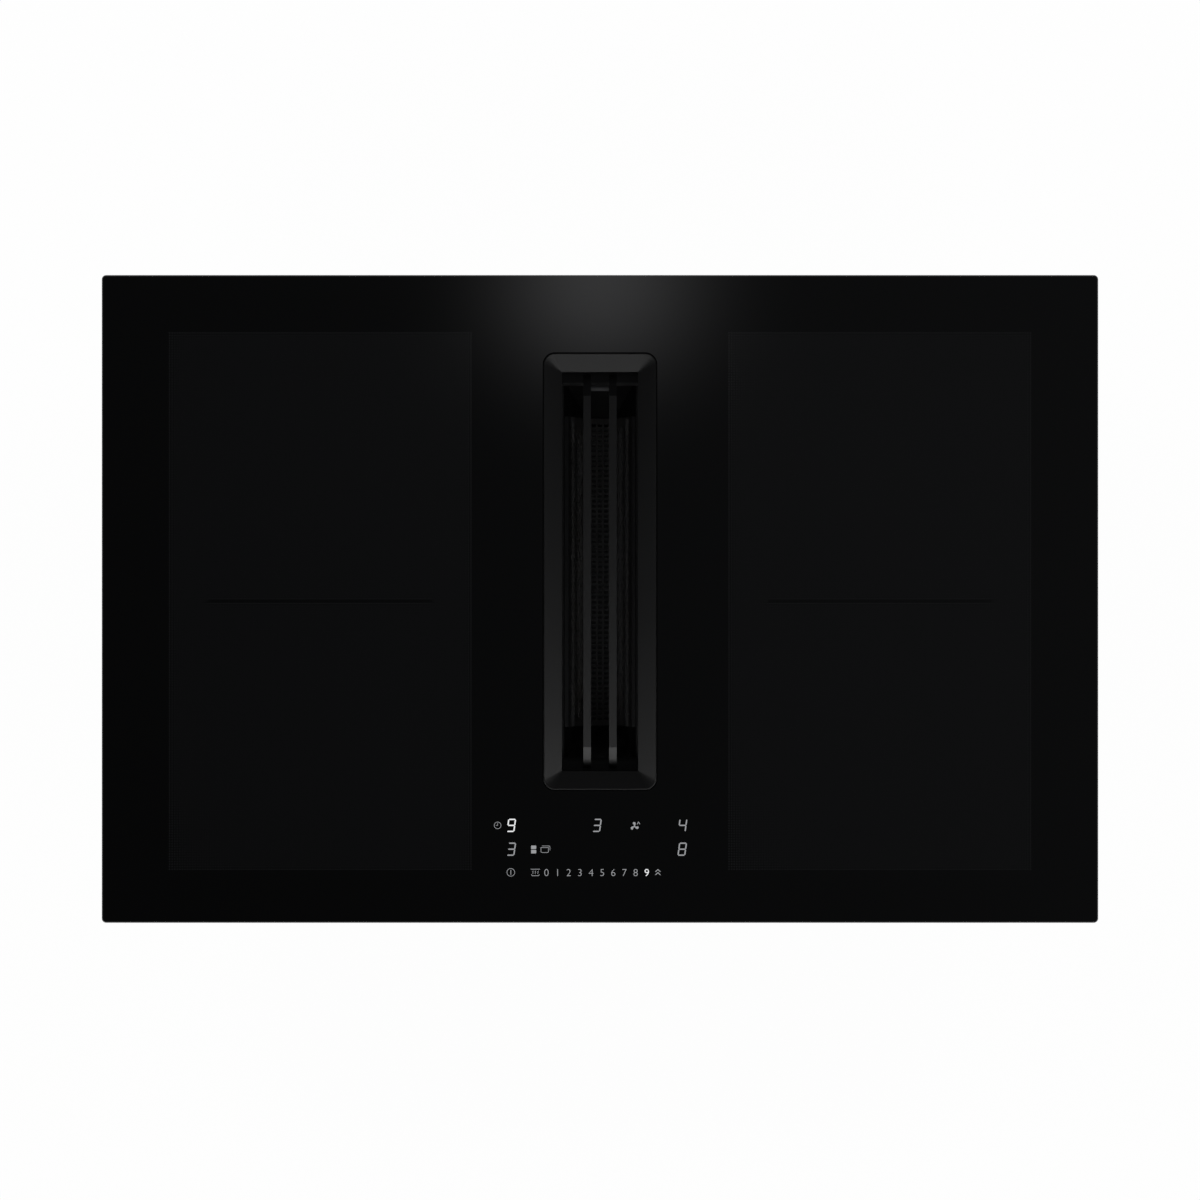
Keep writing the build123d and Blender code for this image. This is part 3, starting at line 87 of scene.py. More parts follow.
class CooktopSizes(bpy.types.PropertyGroup):
    """Sizes of what is printed on the glass"""

    zone_inner_x: length("Zone inner edge", "Distance of each printed zone from the middle", 102.6 * MM)
    zone_outer_x: length("Zone outer edge", "Distance of each zone's far edge from the middle", 347.0 * MM)
    zone_front_y: length("Zone front edge", "Front edge of the printed zones", -218.0 * MM)
    zone_rear_y: length("Zone rear edge", "Rear edge of the printed zones", 214.3 * MM)
    dot_pitch: length("Dot pitch", "Spacing of the printed dots", 2.05 * MM)
    break_y: length("Break line", "Line between the front and the rear cooking zone", -1.8 * MM)
    break_inner_x: length("Break inner end", "Inner end of the line between the zones", 134.5 * MM)
    break_outer_x: length("Break outer end", "Outer end of the line between the zones", 315.0 * MM)
    ink: length("Ink", "Thickness of the printed marks", 0.04 * MM)
    digit_width: length("Digit width", "Width of a lit digit", 6.4 * MM)
    digit_height: length("Digit height", "Height of a lit digit", 10.6 * MM)
    digit_stroke: length("Digit stroke", "Stroke width of a lit digit", 1.0 * MM)
    slider_size: length("Slider numbers", "Type size of the numbers on the power slider", 8.4 * MM)
    slider_start: length("Slider start", "Place of the first number from the middle", -43.0 * MM)
    slider_pitch: length("Slider pitch", "Distance between the numbers", 8.95 * MM)
    slider_y: length("Slider line", "Middle of the numbers, from the middle of the glass", -219.7 * MM)


class CooktopColours(bpy.types.PropertyGroup):
    """Colours of the glass, its prints and the main finishes"""

    glass: colour("Glass", "Body of the glass ceramic", (0.0001, 0.00011, 0.00012))
    print_dot: colour("Zone print", "Dots of the printed zones", (0.006, 0.0062, 0.0066))
    lit: colour("Lit marks", "Digits that are lit", (0.93, 0.94, 0.95))
    # Printed marks glow in this colour: painted light, not lit ink.
    ink: colour("Printed marks", "Numbers and symbols that are printed", (0.52, 0.53, 0.55))
    cover: colour("Inlet cover", "Black coating of the inlet cover", (0.001, 0.001, 0.00105))
    steel: colour("Filter steel", "Dark-coated steel of the grease filter", (0.125, 0.125, 0.126))
    zinc: colour("Zinc", "Zinc-coated sheet of the casing", (0.42, 0.43, 0.44))
    plastic: colour("Fan box", "Moulded plastic of the fan box", (0.025, 0.0257, 0.0272))
    floor: colour("Floor", "Floor under the cooktop", (0.8, 0.8, 0.8))


# ---------------------------------------------------------------- shader expressions
class Value:
    """An output socket of a node tree that takes part in expressions."""

    def __init__(self, owner, socket):
        self.owner = owner
        self.socket = socket

    def maths(self, operation, *values):
        """The result of a maths node over values and sockets."""
        return self.owner.node("ShaderNodeMath", {"operation": operation}, dict(enumerate(values)))

    def __add__(self, other):
        return self.maths("ADD", self, other)

    def __sub__(self, other):
        return self.maths("SUBTRACT", self, other)

    def __mul__(self, other):
        return self.maths("MULTIPLY", self, other)

    def __radd__(self, other):
        return self.maths("ADD", other, self)

    def __rsub__(self, other):
        return self.maths("SUBTRACT", other, self)

    def __rmul__(self, other):
        return self.maths("MULTIPLY", other, self)

    def __abs__(self):
        return self.maths("ABSOLUTE", self)

    def cosine(self):
        return self.maths("COSINE", self)

    def exponent(self):
        return self.maths("EXPONENT", self)

    def rise(self, low, high):
        """Smooth step from 0 at low to 1 at high. A high below low gives a fall."""
        return self.owner.node("ShaderNodeMapRange", {"interpolation_type": "SMOOTHSTEP"},
                               {"Value": self, "From Min": low, "From Max": high})


class Nodes:
    """A node tree whose nodes all come from one method."""

    def __init__(self, tree):
        self.tree = tree

    def plug(self, socket, value):
        """Links an expression to a socket, or sets the socket to a constant."""
        if isinstance(value, Value):
            self.tree.links.new(value.socket, socket)
        elif hasattr(value, "__len__") and socket.type == "RGBA" and len(value) == 3:
            socket.default_value = (*value, 1.0)
        else:
            socket.default_value = value

    def node(self, kind, settings=None, sockets=None, output=0):
        """A node of a type, with its settings first and then its sockets' values or links."""
        made = self.tree.nodes.new(kind)
        for name, value in (settings or {}).items():
            setattr(made, name, value)
        for name, value in (sockets or {}).items():
            self.plug(made.inputs[name], value)
        return Value(self, made.outputs[output])

    def first(self, kind):
        """The node of a type that the tree was made with."""
        return next(node for node in self.tree.nodes if node.type == kind)

    def ray(self, kind):
        """1 for rays of a kind, 0 for the others."""
        return self.node("ShaderNodeLightPath", output="Is %s Ray" % kind)

    def mix(self, factor, low, high):
        """A colour between two colours. The numbers are the places of the Mix node's colour sockets."""
        return self.node("ShaderNodeMix", {"data_type": "RGBA"}, {0: factor, 6: low, 7: high}, output=2)


class Finish(Nodes):
    """One material."""

    def __init__(self, name, base, roughness, **constants):
        self.material = bpy.data.materials.new(name)
        self.material.use_nodes = True
        super().__init__(self.material.node_tree)
        self.shader = self.first("BSDF_PRINCIPLED")
        self.feed("Base Color", base)
        self.feed("Roughness", roughness)
        for socket, value in constants.items():
            self.feed(socket.replace("_", " "), value)
        self.coordinates = self.node("ShaderNodeTexCoord", output="Object")

    def feed(self, socket, value):
        """Gives a value or an expression to a socket of the shader."""
        self.plug(self.shader.inputs[socket], value)

    def scaled(self, x, y, z):
        """Object coordinates stretched along each axis."""
        return self.node("ShaderNodeVectorMath", {"operation": "MULTIPLY"}, {0: self.coordinates, 1: (x, y, z)})

    def axis(self, letter):
        """One object coordinate, in metres."""
        return self.node("ShaderNodeSeparateXYZ", sockets={"Vector": self.coordinates}, output=letter)

    def noise(self, scale, detail=2.0, vector=None):
        """Cloudy noise, with features 1 / scale metres across."""
        return self.node("ShaderNodeTexNoise", sockets={
            "Vector": vector or self.coordinates, "Scale": scale, "Detail": detail})

    def cells(self, scale, output="Distance", vector=None):
        """Cells 1 / scale metres across: the distance to each cell's middle, or its own colour."""
        return self.node("ShaderNodeTexVoronoi", sockets={"Vector": vector or self.coordinates, "Scale": scale},
                         output=output)

    def grey(self, colour_value):
        """Brightness of a colour output."""
        return self.node("ShaderNodeRGBToBW", sockets={"Color": colour_value})

    def bump(self, height, depth, strength):
        """Relief whose height, from 0 to 1, stands for a depth in metres."""
        normal = self.node("ShaderNodeBump", sockets={"Height": height, "Distance": depth, "Strength": strength})
        self.feed("Normal", normal)

    def give(self, *names):
        """Puts the material on CAD nodes by name."""
        for name in names:
            mesh = nodes[name].data
            mesh.materials.clear()
            mesh.materials.append(self.material)


def darker(tone, share):
    """A colour times a share. A share above 1 makes it lighter."""
    return tuple(channel * share for channel in tone)


def moulded(name, base, roughness, grain=1900.0, depth=0.03 * MM):
    """Spark-textured moulding: a fine grain, slow tone changes and slightly polished high spots."""
    finish = Finish(name, base, roughness, IOR=1.5)
    grit = finish.noise(grain, 3.0)
    cloud = finish.noise(14.0)
    finish.feed("Base Color", finish.mix(cloud.rise(0.35, 0.65), darker(base, 0.86), darker(base, 1.12)))
    finish.feed("Roughness", roughness + 0.16 * (grit - 0.5) + 0.08 * (cloud - 0.5))
    finish.bump(grit, depth, 0.55)
    return finish


def rolled(name, base, roughness, along, metallic=1.0):
    """Rolled or brushed metal: long fine lines one way and a faint handling cloud."""
    finish = Finish(name, base, roughness, Metallic=metallic)
    stretch = [30.0 if axis == along else 2600.0 for axis in "xyz"]
    lines = finish.noise(1.0, vector=finish.scaled(*stretch))
    cloud = finish.noise(22.0, 3.0)
    finish.feed("Base Color", finish.mix(lines.rise(0.25, 0.75), darker(base, 0.84), darker(base, 1.1)))
    finish.feed("Roughness", roughness + 0.22 * (lines - 0.5) + 0.16 * (cloud - 0.5))
    finish.bump(lines, 0.006 * MM, 0.5)
    return finish


def zinc_sheet(name, base):
    """Hot-dip zinc coating: spangles that differ in tone and in gloss, with rolling lines under them."""
    finish = Finish(name, base, 0.42, Metallic=0.9)
    spangle = finish.grey(finish.cells(240.0, "Color"))
    lines = finish.noise(1.0, vector=finish.scaled(25.0, 1800.0, 1800.0))
    cloud = finish.noise(9.0, 3.0)
    tone = 0.5 * spangle + 0.5 * cloud
    finish.feed("Base Color", finish.mix(tone.rise(0.2, 0.8), darker(base, 0.88), darker(base, 1.08)))
    finish.feed("Roughness", 0.36 + 0.1 * spangle + 0.08 * (lines - 0.5))
    finish.bump(0.5 * spangle + lines, 0.008 * MM, 0.4)
    return finish


def rubbery(name, base):
    """Soft rubber or foam with open pores, painted darker in their middles as shade."""
    finish = Finish(name, base, 0.82, IOR=1.45)
    pore = finish.cells(900.0)
    # Painted shade: darker at each pore's middle, where the bump makes a pit.
    finish.feed("Base Color", finish.mix(pore.rise(0.0, 0.5), darker(base, 0.7), darker(base, 1.15)))
    finish.feed("Roughness", 0.74 + 0.2 * pore)
    finish.bump(pore, 0.08 * MM, 0.6)
    return finish


# ---------------------------------------------------------------- mesh helpers
def piece(name, mesh, finish, body, replaced=()):
    """A finished object that rides on a body, and may stand in for CAD nodes."""
    made = bpy.data.objects.new(name, mesh)
    bpy.context.scene.collection.objects.link(made)
    mesh.materials.append(finish.material)
    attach(made, body)
    if replaced:
        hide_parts(*replaced)
    return made


def span(values):
    """The lowest and the highest of some numbers."""
    values = list(values)
    return min(values), max(values)


def mesh_of(build, name):
    """Closes a bmesh into a mesh."""
    bmesh.ops.recalc_face_normals(build, faces=build.faces)
    mesh = bpy.data.meshes.new(name)
    build.to_mesh(mesh)
    build.free()
    return mesh


def prism(build, outline, low, high):
    """A closed upright prism over a convex or simple outline."""
    bottom = [build.verts.new((x, y, low)) for x, y in outline]
    top = [build.verts.new((x, y, high)) for x, y in outline]
    build.faces.new(bottom[::-1])
    build.faces.new(top)
    for index in range(len(outline)):
        after = (index + 1) % len(outline)
        build.faces.new((bottom[index], bottom[after], top[after], top[index]))


def turned(build, profile, steps, middle):
    """A closed body of revolution about an upright axis. A radius may be a list, one for each step."""
    rings = []
    for radii, height in profile:
        ring = []
        for step in range(steps):
            radius = radii[step] if isinstance(radii, (list, tuple)) else radii
            angle = 2 * math.pi * step / steps
            ring.append(build.verts.new((middle[0] + radius * math.cos(angle),
                                         middle[1] + radius * math.sin(angle), height)))
        rings.append(ring)
    for lower, upper in zip(rings, rings[1:]):
        for step in range(steps):
            after = (step + 1) % steps
            build.faces.new((lower[step], lower[after], upper[after], upper[step]))
    build.faces.new(rings[0][::-1])
    build.faces.new(rings[-1])


def stroke(build, points, width, low, high, closed=False):
    """A printed line: one block a run, with a round dot at each inner corner."""
    runs = list(zip(points, points[1:] + points[:1])) if closed else list(zip(points, points[1:]))
    half = width / 2
    for (ax, ay), (bx, by) in runs:
        run = math.hypot(bx - ax, by - ay)
        nx, ny = -(by - ay) / run * half, (bx - ax) / run * half
        prism(build, [(ax - nx, ay - ny), (bx - nx, by - ny), (bx + nx, by + ny), (ax + nx, ay + ny)], low, high)
    for x, y in points if closed else points[1:-1]:
        disc(build, x, y, half, low, high, 10)


def circle(x, y, radius, steps):
    """Corners of a round outline."""
    turns = [2 * math.pi * step / steps for step in range(steps)]
    return [(x + radius * math.cos(turn), y + radius * math.sin(turn)) for turn in turns]


def disc(build, x, y, radius, low, high, steps=20):
    """A round dot."""
    prism(build, circle(x, y, radius, steps), low, high)


def separate_solids(mesh):
    """The corners of each solid of a mesh."""
    source = bmesh.new()
    source.from_mesh(mesh)
    bmesh.ops.remove_doubles(source, verts=source.verts, dist=0.002 * MM)
    solids, seen = [], set()
    for start in source.verts:
        if start.index in seen:
            continue
        stack, corners = [start], []
        seen.add(start.index)
        while stack:
            vert = stack.pop()
            corners.append(vert.co.copy())
            for edge in vert.link_edges:
                other = edge.other_vert(vert)
                if other.index not in seen:
                    seen.add(other.index)
                    stack.append(other)
        solids.append(corners)
    source.free()
    return solids


# ---------------------------------------------------------------- finishes
def black_glass():
    """Polished black glass ceramic: printed dot zones, ground edges and a studded underside."""
    sizes, colours = bpy.context.scene.cooktop_sizes, bpy.context.scene.cooktop_colours
    body = tuple(colours.glass)
    finish = Finish("Black glass ceramic", body, 0.03, IOR=1.5)
    x, y, z = (finish.axis(letter) for letter in "XYZ")
    side_x = abs(x)
    soft, break_soft, break_half = 0.15 * MM, 0.1 * MM, 0.9 * MM
    edge_start, edge_end, edge_tone = 0.55 * MM, 0.4 * MM, (0.0115, 0.0137, 0.0137)
    in_zone = (side_x.rise(sizes.zone_inner_x - soft, sizes.zone_inner_x + soft)
               * side_x.rise(sizes.zone_outer_x + soft, sizes.zone_outer_x - soft)
               * y.rise(sizes.zone_front_y - soft, sizes.zone_front_y + soft)
               * y.rise(sizes.zone_rear_y + soft, sizes.zone_rear_y - soft))
    turn = 2 * math.pi / sizes.dot_pitch
    along = 0.5 - 0.5 * ((side_x - sizes.zone_inner_x) * turn).cosine()
    across = 0.5 - 0.5 * ((y - sizes.zone_front_y) * turn).cosine()
    dots = (along + across - 0.9).rise(0.0, 0.75)
    in_break = (abs(y - sizes.break_y).rise(break_half + break_soft, break_half - break_soft)
                * side_x.rise(sizes.break_inner_x - soft, sizes.break_inner_x + soft)
                * side_x.rise(sizes.break_outer_x + soft, sizes.break_outer_x - soft))
    uneven = 0.8 + 0.4 * finish.noise(260.0, 1.0)
    ink = in_zone * dots * (1.0 - in_break) * uneven
    edge = side_x.rise(glass_high.x - edge_start, glass_high.x - edge_end)
    edge = (edge + abs(y).rise(glass_high.y - edge_start, glass_high.y - edge_end)).rise(0.0, 1.0)
    grit = finish.noise(2400.0)
    tone = finish.mix(ink, body, tuple(colours.print_dot))
    finish.feed("Base Color", finish.mix(edge, tone, edge_tone))
    film = finish.noise(11.0, 4.0).rise(0.45, 0.8)
    finish.feed("Roughness", 0.028 + 0.03 * film + 0.12 * ink + edge * (0.2 + 0.2 * grit))
    stud = finish.cells(260.0)
    under = z.rise(glass_low.z + 0.3 * MM, glass_low.z + 0.1 * MM)
    finish.bump(under * stud + 0.02 * edge * grit, 0.25 * MM, 0.6)
    return finish


def coated_cover():
    """Satin black powder coat on the inlet cover: fine orange peel and slow changes of tone."""
    base = tuple(bpy.context.scene.cooktop_colours.cover)
    finish = Finish("Satin black coating", base, 0.5, IOR=1.5)
    peel = finish.noise(1500.0)
    cloud = finish.noise(18.0)
    finish.feed("Base Color", finish.mix(cloud.rise(0.3, 0.7), darker(base, 0.94), darker(base, 1.05)))
    finish.feed("Roughness", 0.48 + 0.08 * (peel - 0.5) + 0.05 * (cloud - 0.5))
    finish.bump(peel, 0.012 * MM, 0.4)
    return finish


def filter_steel(name, base, top_z):
    """Dark-coated steel: faint brushing along the filter, fine pits, a trace of heat tint, and painted shade darkening
    the top edge.
    """
    finish = Finish(name, base, 0.5, IOR=1.5)
    lines = finish.noise(1.0, vector=finish.scaled(1800.0, 60.0, 1800.0))
    pits = finish.noise(1400.0)
    tint = finish.noise(16.0, 3.0)
    tone = finish.mix(tint.rise(0.35, 0.75), base, (base[0] * 0.9, base[1] * 0.84, base[2] * 0.78))
    tone = finish.mix(0.2 * lines.rise(0.3, 0.7), tone, darker(base, 0.5))
    # Painted shade: a darker band along the top edge stands in for the shadow line where the filter meets the parts
    # above.
    edge = finish.axis("Z").rise(top_z - 1.2 * MM, top_z - 0.9 * MM)
    finish.feed("Base Color", finish.mix(edge, tone, darker(base, 0.6)))
    finish.feed("Roughness", 0.5 + 0.08 * (pits - 0.5))
    finish.bump(pits, 0.004 * MM, 0.4)
    return finish


def enamel(name, base):
    """Glossy enamel with a slight flow texture."""
    finish = Finish(name, base, 0.2, IOR=1.5, Coat_Weight=0.6, Coat_Roughness=0.08)
    flow = finish.noise(60.0)
    speck = finish.cells(700.0)
    finish.feed("Base Color", finish.mix(speck.rise(0.02, 0.12), darker(base, 2.2), base))
    finish.feed("Roughness", 0.18 + 0.1 * flow)
    finish.bump(flow, 0.05 * MM, 0.3)
    return finish


def wound_copper():
    """Enamelled copper strands: fine slanting strands, with painted shade in the gaps between them."""
    finish = Finish("Enamelled copper strands", (0.5, 0.22, 0.09), 0.34, Metallic=0.85)
    strands = finish.node("ShaderNodeTexWave", {"wave_type": "BANDS", "bands_direction": "DIAGONAL"},
                          {"Vector": finish.coordinates, "Scale": 520.0, "Distortion": 1.4})
    strands = finish.grey(strands)
    # Painted shade: darker in the gaps between strands, where the bump is low.
    finish.feed("Base Color", finish.mix(strands, (0.2, 0.07, 0.028), (0.62, 0.3, 0.13)))
    finish.feed("Roughness", 0.46 - 0.16 * strands)
    finish.bump(strands, 0.12 * MM, 0.7)
    return finish


def mica_sheet():
    """Pressed mica: flakes of silvery tan."""
    finish = Finish("Pressed mica", (0.5, 0.45, 0.36), 0.5, Specular_IOR_Level=0.6)
    flake = finish.grey(finish.cells(210.0, "Color", finish.scaled(1.0, 1.6, 1.0)))
    finish.feed("Base Color", finish.mix(flake, (0.36, 0.31, 0.23), (0.66, 0.62, 0.52)))
    finish.feed("Roughness", 0.34 + 0.34 * flake)
    finish.bump(flake, 0.02 * MM, 0.5)
    return finish


def circuit_board():
    """Green solder mask over tracks, with tinned dots."""
    finish = Finish("Circuit board", (0.012, 0.085, 0.03), 0.35, IOR=1.5)
    tracks = finish.node("ShaderNodeTexBrick", {"offset": 0.37, "squash": 0.6}, {
        "Vector": finish.coordinates, "Scale": 130.0, "Mortar Size": 0.035, "Color1": WHITE,
        "Color2": WHITE, "Mortar": BLACK})
    tracks = finish.grey(tracks)
    dots = finish.cells(170.0).rise(0.09, 0.06)
    mask = finish.mix(tracks, (0.03, 0.16, 0.06), (0.01, 0.075, 0.026))
    finish.feed("Base Color", finish.mix(dots, mask, (0.5, 0.5, 0.48)))
    finish.feed("Metallic", 0.9 * dots)
    finish.feed("Roughness", 0.3 + 0.1 * tracks)
    finish.bump(tracks, 0.05 * MM, 0.5)
    return finish


def lamp_lit(name, tone, strength):
    """A lit mark, or a printed mark that glows with painted light so that it shows at one brightness, a touch uneven as
    ink is.
    """
    finish = Finish(name, darker(tone, 0.02), 0.5, Emission_Strength=strength)
    speck = finish.noise(3000.0)
    finish.feed("Emission Color", finish.mix(speck.rise(0.3, 0.7), darker(tone, 0.94), tone))
    finish.feed("Roughness", 0.35 + 0.1 * speck)
    return finish


# ---------------------------------------------------------------- operators
class COOKTOP_OT_stage(bpy.types.Operator):
    """Camera straight above, white floor, and the lamps"""

    bl_idname = "cooktop.stage"
    bl_label = "Stage"

    # The camera's height is over the glass, and its field is the width that it sees there.
    camera_height = 5.352
    camera_y = -0.86 * MM
    field = 963.4 * MM
    lens = 200.0
    clip_end = 60.0
    floor_half = 12.0
    floor_gap = 0.2 * MM
    floor_white = 0.975
    softbox_depth = 0.2
    fill_distance = 3.0
    fill_rise = math.radians(36.0)
    fill_size = 1.1
    # Turn round the object in degrees from the right, and power in watts.
    fill_powers = ((45.0, 38.0), (135.0, 38.0), (225.0, 23.0), (315.0, 23.0))
    glow_height = 1.5
    glow_half = 0.42
    glow_sigma = 52.0 * MM
    glow_tone = (0.74, 0.74, 0.755)

    def execute(self, context):
        scene = context.scene
        camera = bpy.data.cameras.new("Camera")
        camera.lens = self.lens
        camera.sensor_width = self.lens * self.field / self.camera_height
        camera.clip_end = self.clip_end
        placed = bpy.data.objects.new("Camera", camera)
        placed.location = (0.0, self.camera_y, glass_top + self.camera_height)
        scene.collection.objects.link(placed)
        scene.camera = placed
        scene.view_settings.view_transform = "Standard"
        self.world(scene)
        self.floor(scene)
        self.lamps(scene)
        return {"FINISHED"}

    def world(self, scene):
        """White backdrop, a bright band low down, and a dim ceiling that is darkest over the rear."""
        zenith_left, zenith_right = (0.042, 0.043, 0.045), (0.094, 0.096, 0.1)
        ceiling_left, ceiling_right, ceiling_rear = (0.045, 0.046, 0.048), (0.07, 0.071, 0.074), (0.008, 0.008, 0.009)
        haze, horizon = (0.075, 0.076, 0.079), (0.3, 0.3, 0.31)
        scene.world = bpy.data.worlds.new("Studio")
        scene.world.use_nodes = True
        tree = Nodes(scene.world.node_tree)
        background = tree.first("BACKGROUND")
        direction = tree.node("ShaderNodeTexCoord", output="Generated")
        right, rear, up = (tree.node("ShaderNodeSeparateXYZ", sockets={"Vector": direction}, output=letter)
                           for letter in "XYZ")
        # Up is 0 at the horizon and 1 overhead.
        slant = 0.75 * right + 0.5 * rear
        zenith = tree.mix(slant.rise(-0.1, 0.1), zenith_left, zenith_right)
        tone = tree.mix(right.rise(-0.4, 0.4), ceiling_left, ceiling_right)
        tone = tree.mix(rear.rise(0.25, 0.6), tone, ceiling_rear)
        tone = tree.mix(up.rise(0.9, 0.98), tone, zenith)
        tone = tree.mix(up.rise(0.62, 0.3), tone, haze)
        tone = tree.mix(up.rise(0.2, 0.05), tone, horizon)
        seen = tree.ray("Camera") + tree.ray("Transmission")
        tone = tree.mix(seen.rise(0.0, 1.0), tone, WHITE)
        tree.plug(background.inputs["Color"], tone)
        background.inputs["Strength"].default_value = 1.0

    def floor(self, scene):
        """Pale floor that keeps the shadow, and shows white."""
        base = tuple(scene.cooktop_colours.floor)
        finish = Finish("Floor", base, 0.9, Specular_IOR_Level=0.0)
        finish.feed("Base Color", finish.mix(finish.noise(3.0), darker(base, 0.98), base))
        seen = finish.ray("Camera") + finish.ray("Glossy") + finish.ray("Transmission")
        white = finish.node("ShaderNodeEmission", sockets={"Color": WHITE, "Strength": 1.0})
        lit = Value(finish, finish.shader.outputs["BSDF"])
        share = self.floor_white * seen.rise(0.0, 1.0)
        mixed = finish.node("ShaderNodeMixShader", sockets={0: share, 1: lit, 2: white})
        finish.plug(finish.first("OUTPUT_MATERIAL").inputs["Surface"], mixed)
        floor = self.flat(scene, "Floor", self.floor_half, (0.0, 0.0, cad_low.z - self.floor_gap), finish, 2)

    def flat(self, scene, name, half, place, finish, segments=1):
        """A flat square that lies level."""
        build = bmesh.new()
        bmesh.ops.create_grid(build, x_segments=segments, y_segments=segments, size=half)
        mesh = bpy.data.meshes.new(name)
        build.to_mesh(mesh)
        build.free()
        mesh.materials.append(finish.material)
        made = bpy.data.objects.new(name, mesh)
        made.location = place
        scene.collection.objects.link(made)
        return made

    def lamps(self, scene):
        """Near soft boxes for the inlet cover, four fill lamps round the object and a glow card."""
        bar_names = ("cover_bar_left", "cover_bar_right")
        inlet = self.lit_parts("Inlet parts", *bar_names, "cover_frame", "filter_frame", "filter_mesh_left",
                               "filter_mesh_right", "filter_floor", "filter_lift_tab")
        bars = self.lit_parts("Bars", *bar_names)
        aim = Vector((0.0, 0.02, glass_top))
        # Place from the middle of the glass, width in metres, power in watts, and what the box lights.
        for x, y, lift, width, power, lit in (
                (-0.27, -0.34, 0.24, 0.26, 0.65, inlet),
                (0.0, -0.32, 0.17, 0.26, 0.1, inlet),
                (0.29, -0.34, 0.24, 0.26, 0.92, inlet),
                (0.0, -0.33, 0.18, 0.26, 0.17, bars),
                (0.0, -0.3, 0.5, 0.4, 0.28, bars)):
            place, size = Vector((x, y, glass_top + lift)), (width, self.softbox_depth)
            softbox = self.area(scene, "Front softbox", place, aim, size, power)
            softbox.light_linking.receiver_collection = lit
        middle = Vector((0.0, 0.0, glass_top))
        level, lift = self.fill_distance * math.cos(self.fill_rise), self.fill_distance * math.sin(self.fill_rise)
        for turn, power in self.fill_powers:
            angle = math.radians(turn)
            place = middle + Vector((level * math.cos(angle), level * math.sin(angle), lift))
            fill = self.area(scene, "Fill lamp", place, middle, (self.fill_size, self.fill_size), power)
            fill.visible_glossy = False
        self.glow_card(scene)

    def lit_parts(self, name, *names):
        """The CAD nodes that a linked lamp lights."""
        made = bpy.data.collections.new(name)
        for node in names:
            made.objects.link(nodes[node])
        return made

    def area(self, scene, name, place, target, size, power):
        """A lamp with a rectangular face, turned to a target."""
        lamp = bpy.data.lights.new(name, "AREA")
        lamp.shape = "RECTANGLE"
        lamp.size, lamp.size_y = size
        lamp.energy = power
        made = bpy.data.objects.new(name, lamp)
        made.location = place
        made.rotation_euler = (target - place).to_track_quat("-Z", "Y").to_euler()
        made.visible_camera = False
        scene.collection.objects.link(made)
        return made

    def glow_card(self, scene):
        """A clear card high over the glass, with a soft patch of light that the rear of the glass mirrors."""
        spread = 1.0 + (self.glow_height - glass_top) / self.camera_height
        finish = Finish("Glow card", BLACK, 1.0)
        away = finish.node("ShaderNodeVectorMath", {"operation": "LENGTH"}, {0: finish.coordinates}, output="Value")
        sigma = self.glow_sigma * spread
        bell = (away * away * (-0.5 / sigma ** 2)).exponent()
        tone = finish.mix(bell, BLACK, self.glow_tone)
        glow = finish.node("ShaderNodeEmission", sockets={"Color": tone, "Strength": 1.0})
        clear = finish.node("ShaderNodeBsdfTransparent")
        layered = finish.node("ShaderNodeAddShader", sockets={0: glow, 1: clear})
        finish.plug(finish.first("OUTPUT_MATERIAL").inputs["Surface"], layered)
        place = (0.0, glass_high.y * spread, self.glow_height)
        card = self.flat(scene, "Glow card", self.glow_half, place, finish)
        for kind in ("camera", "diffuse", "transmission", "shadow", "volume_scatter"):
            setattr(card, "visible_" + kind, False)


class COOKTOP_OT_glass(bpy.types.Operator):
    """Glass plate with its printed cooking zones, and its seal"""

    bl_idname = "cooktop.glass"
    bl_label = "Glass plate"

    def execute(self, context):
        black_glass().give("glass_plate")
        rubbery("Seal foam", (0.02, 0.02, 0.021)).give("rim_seal")
        return {"FINISHED"}


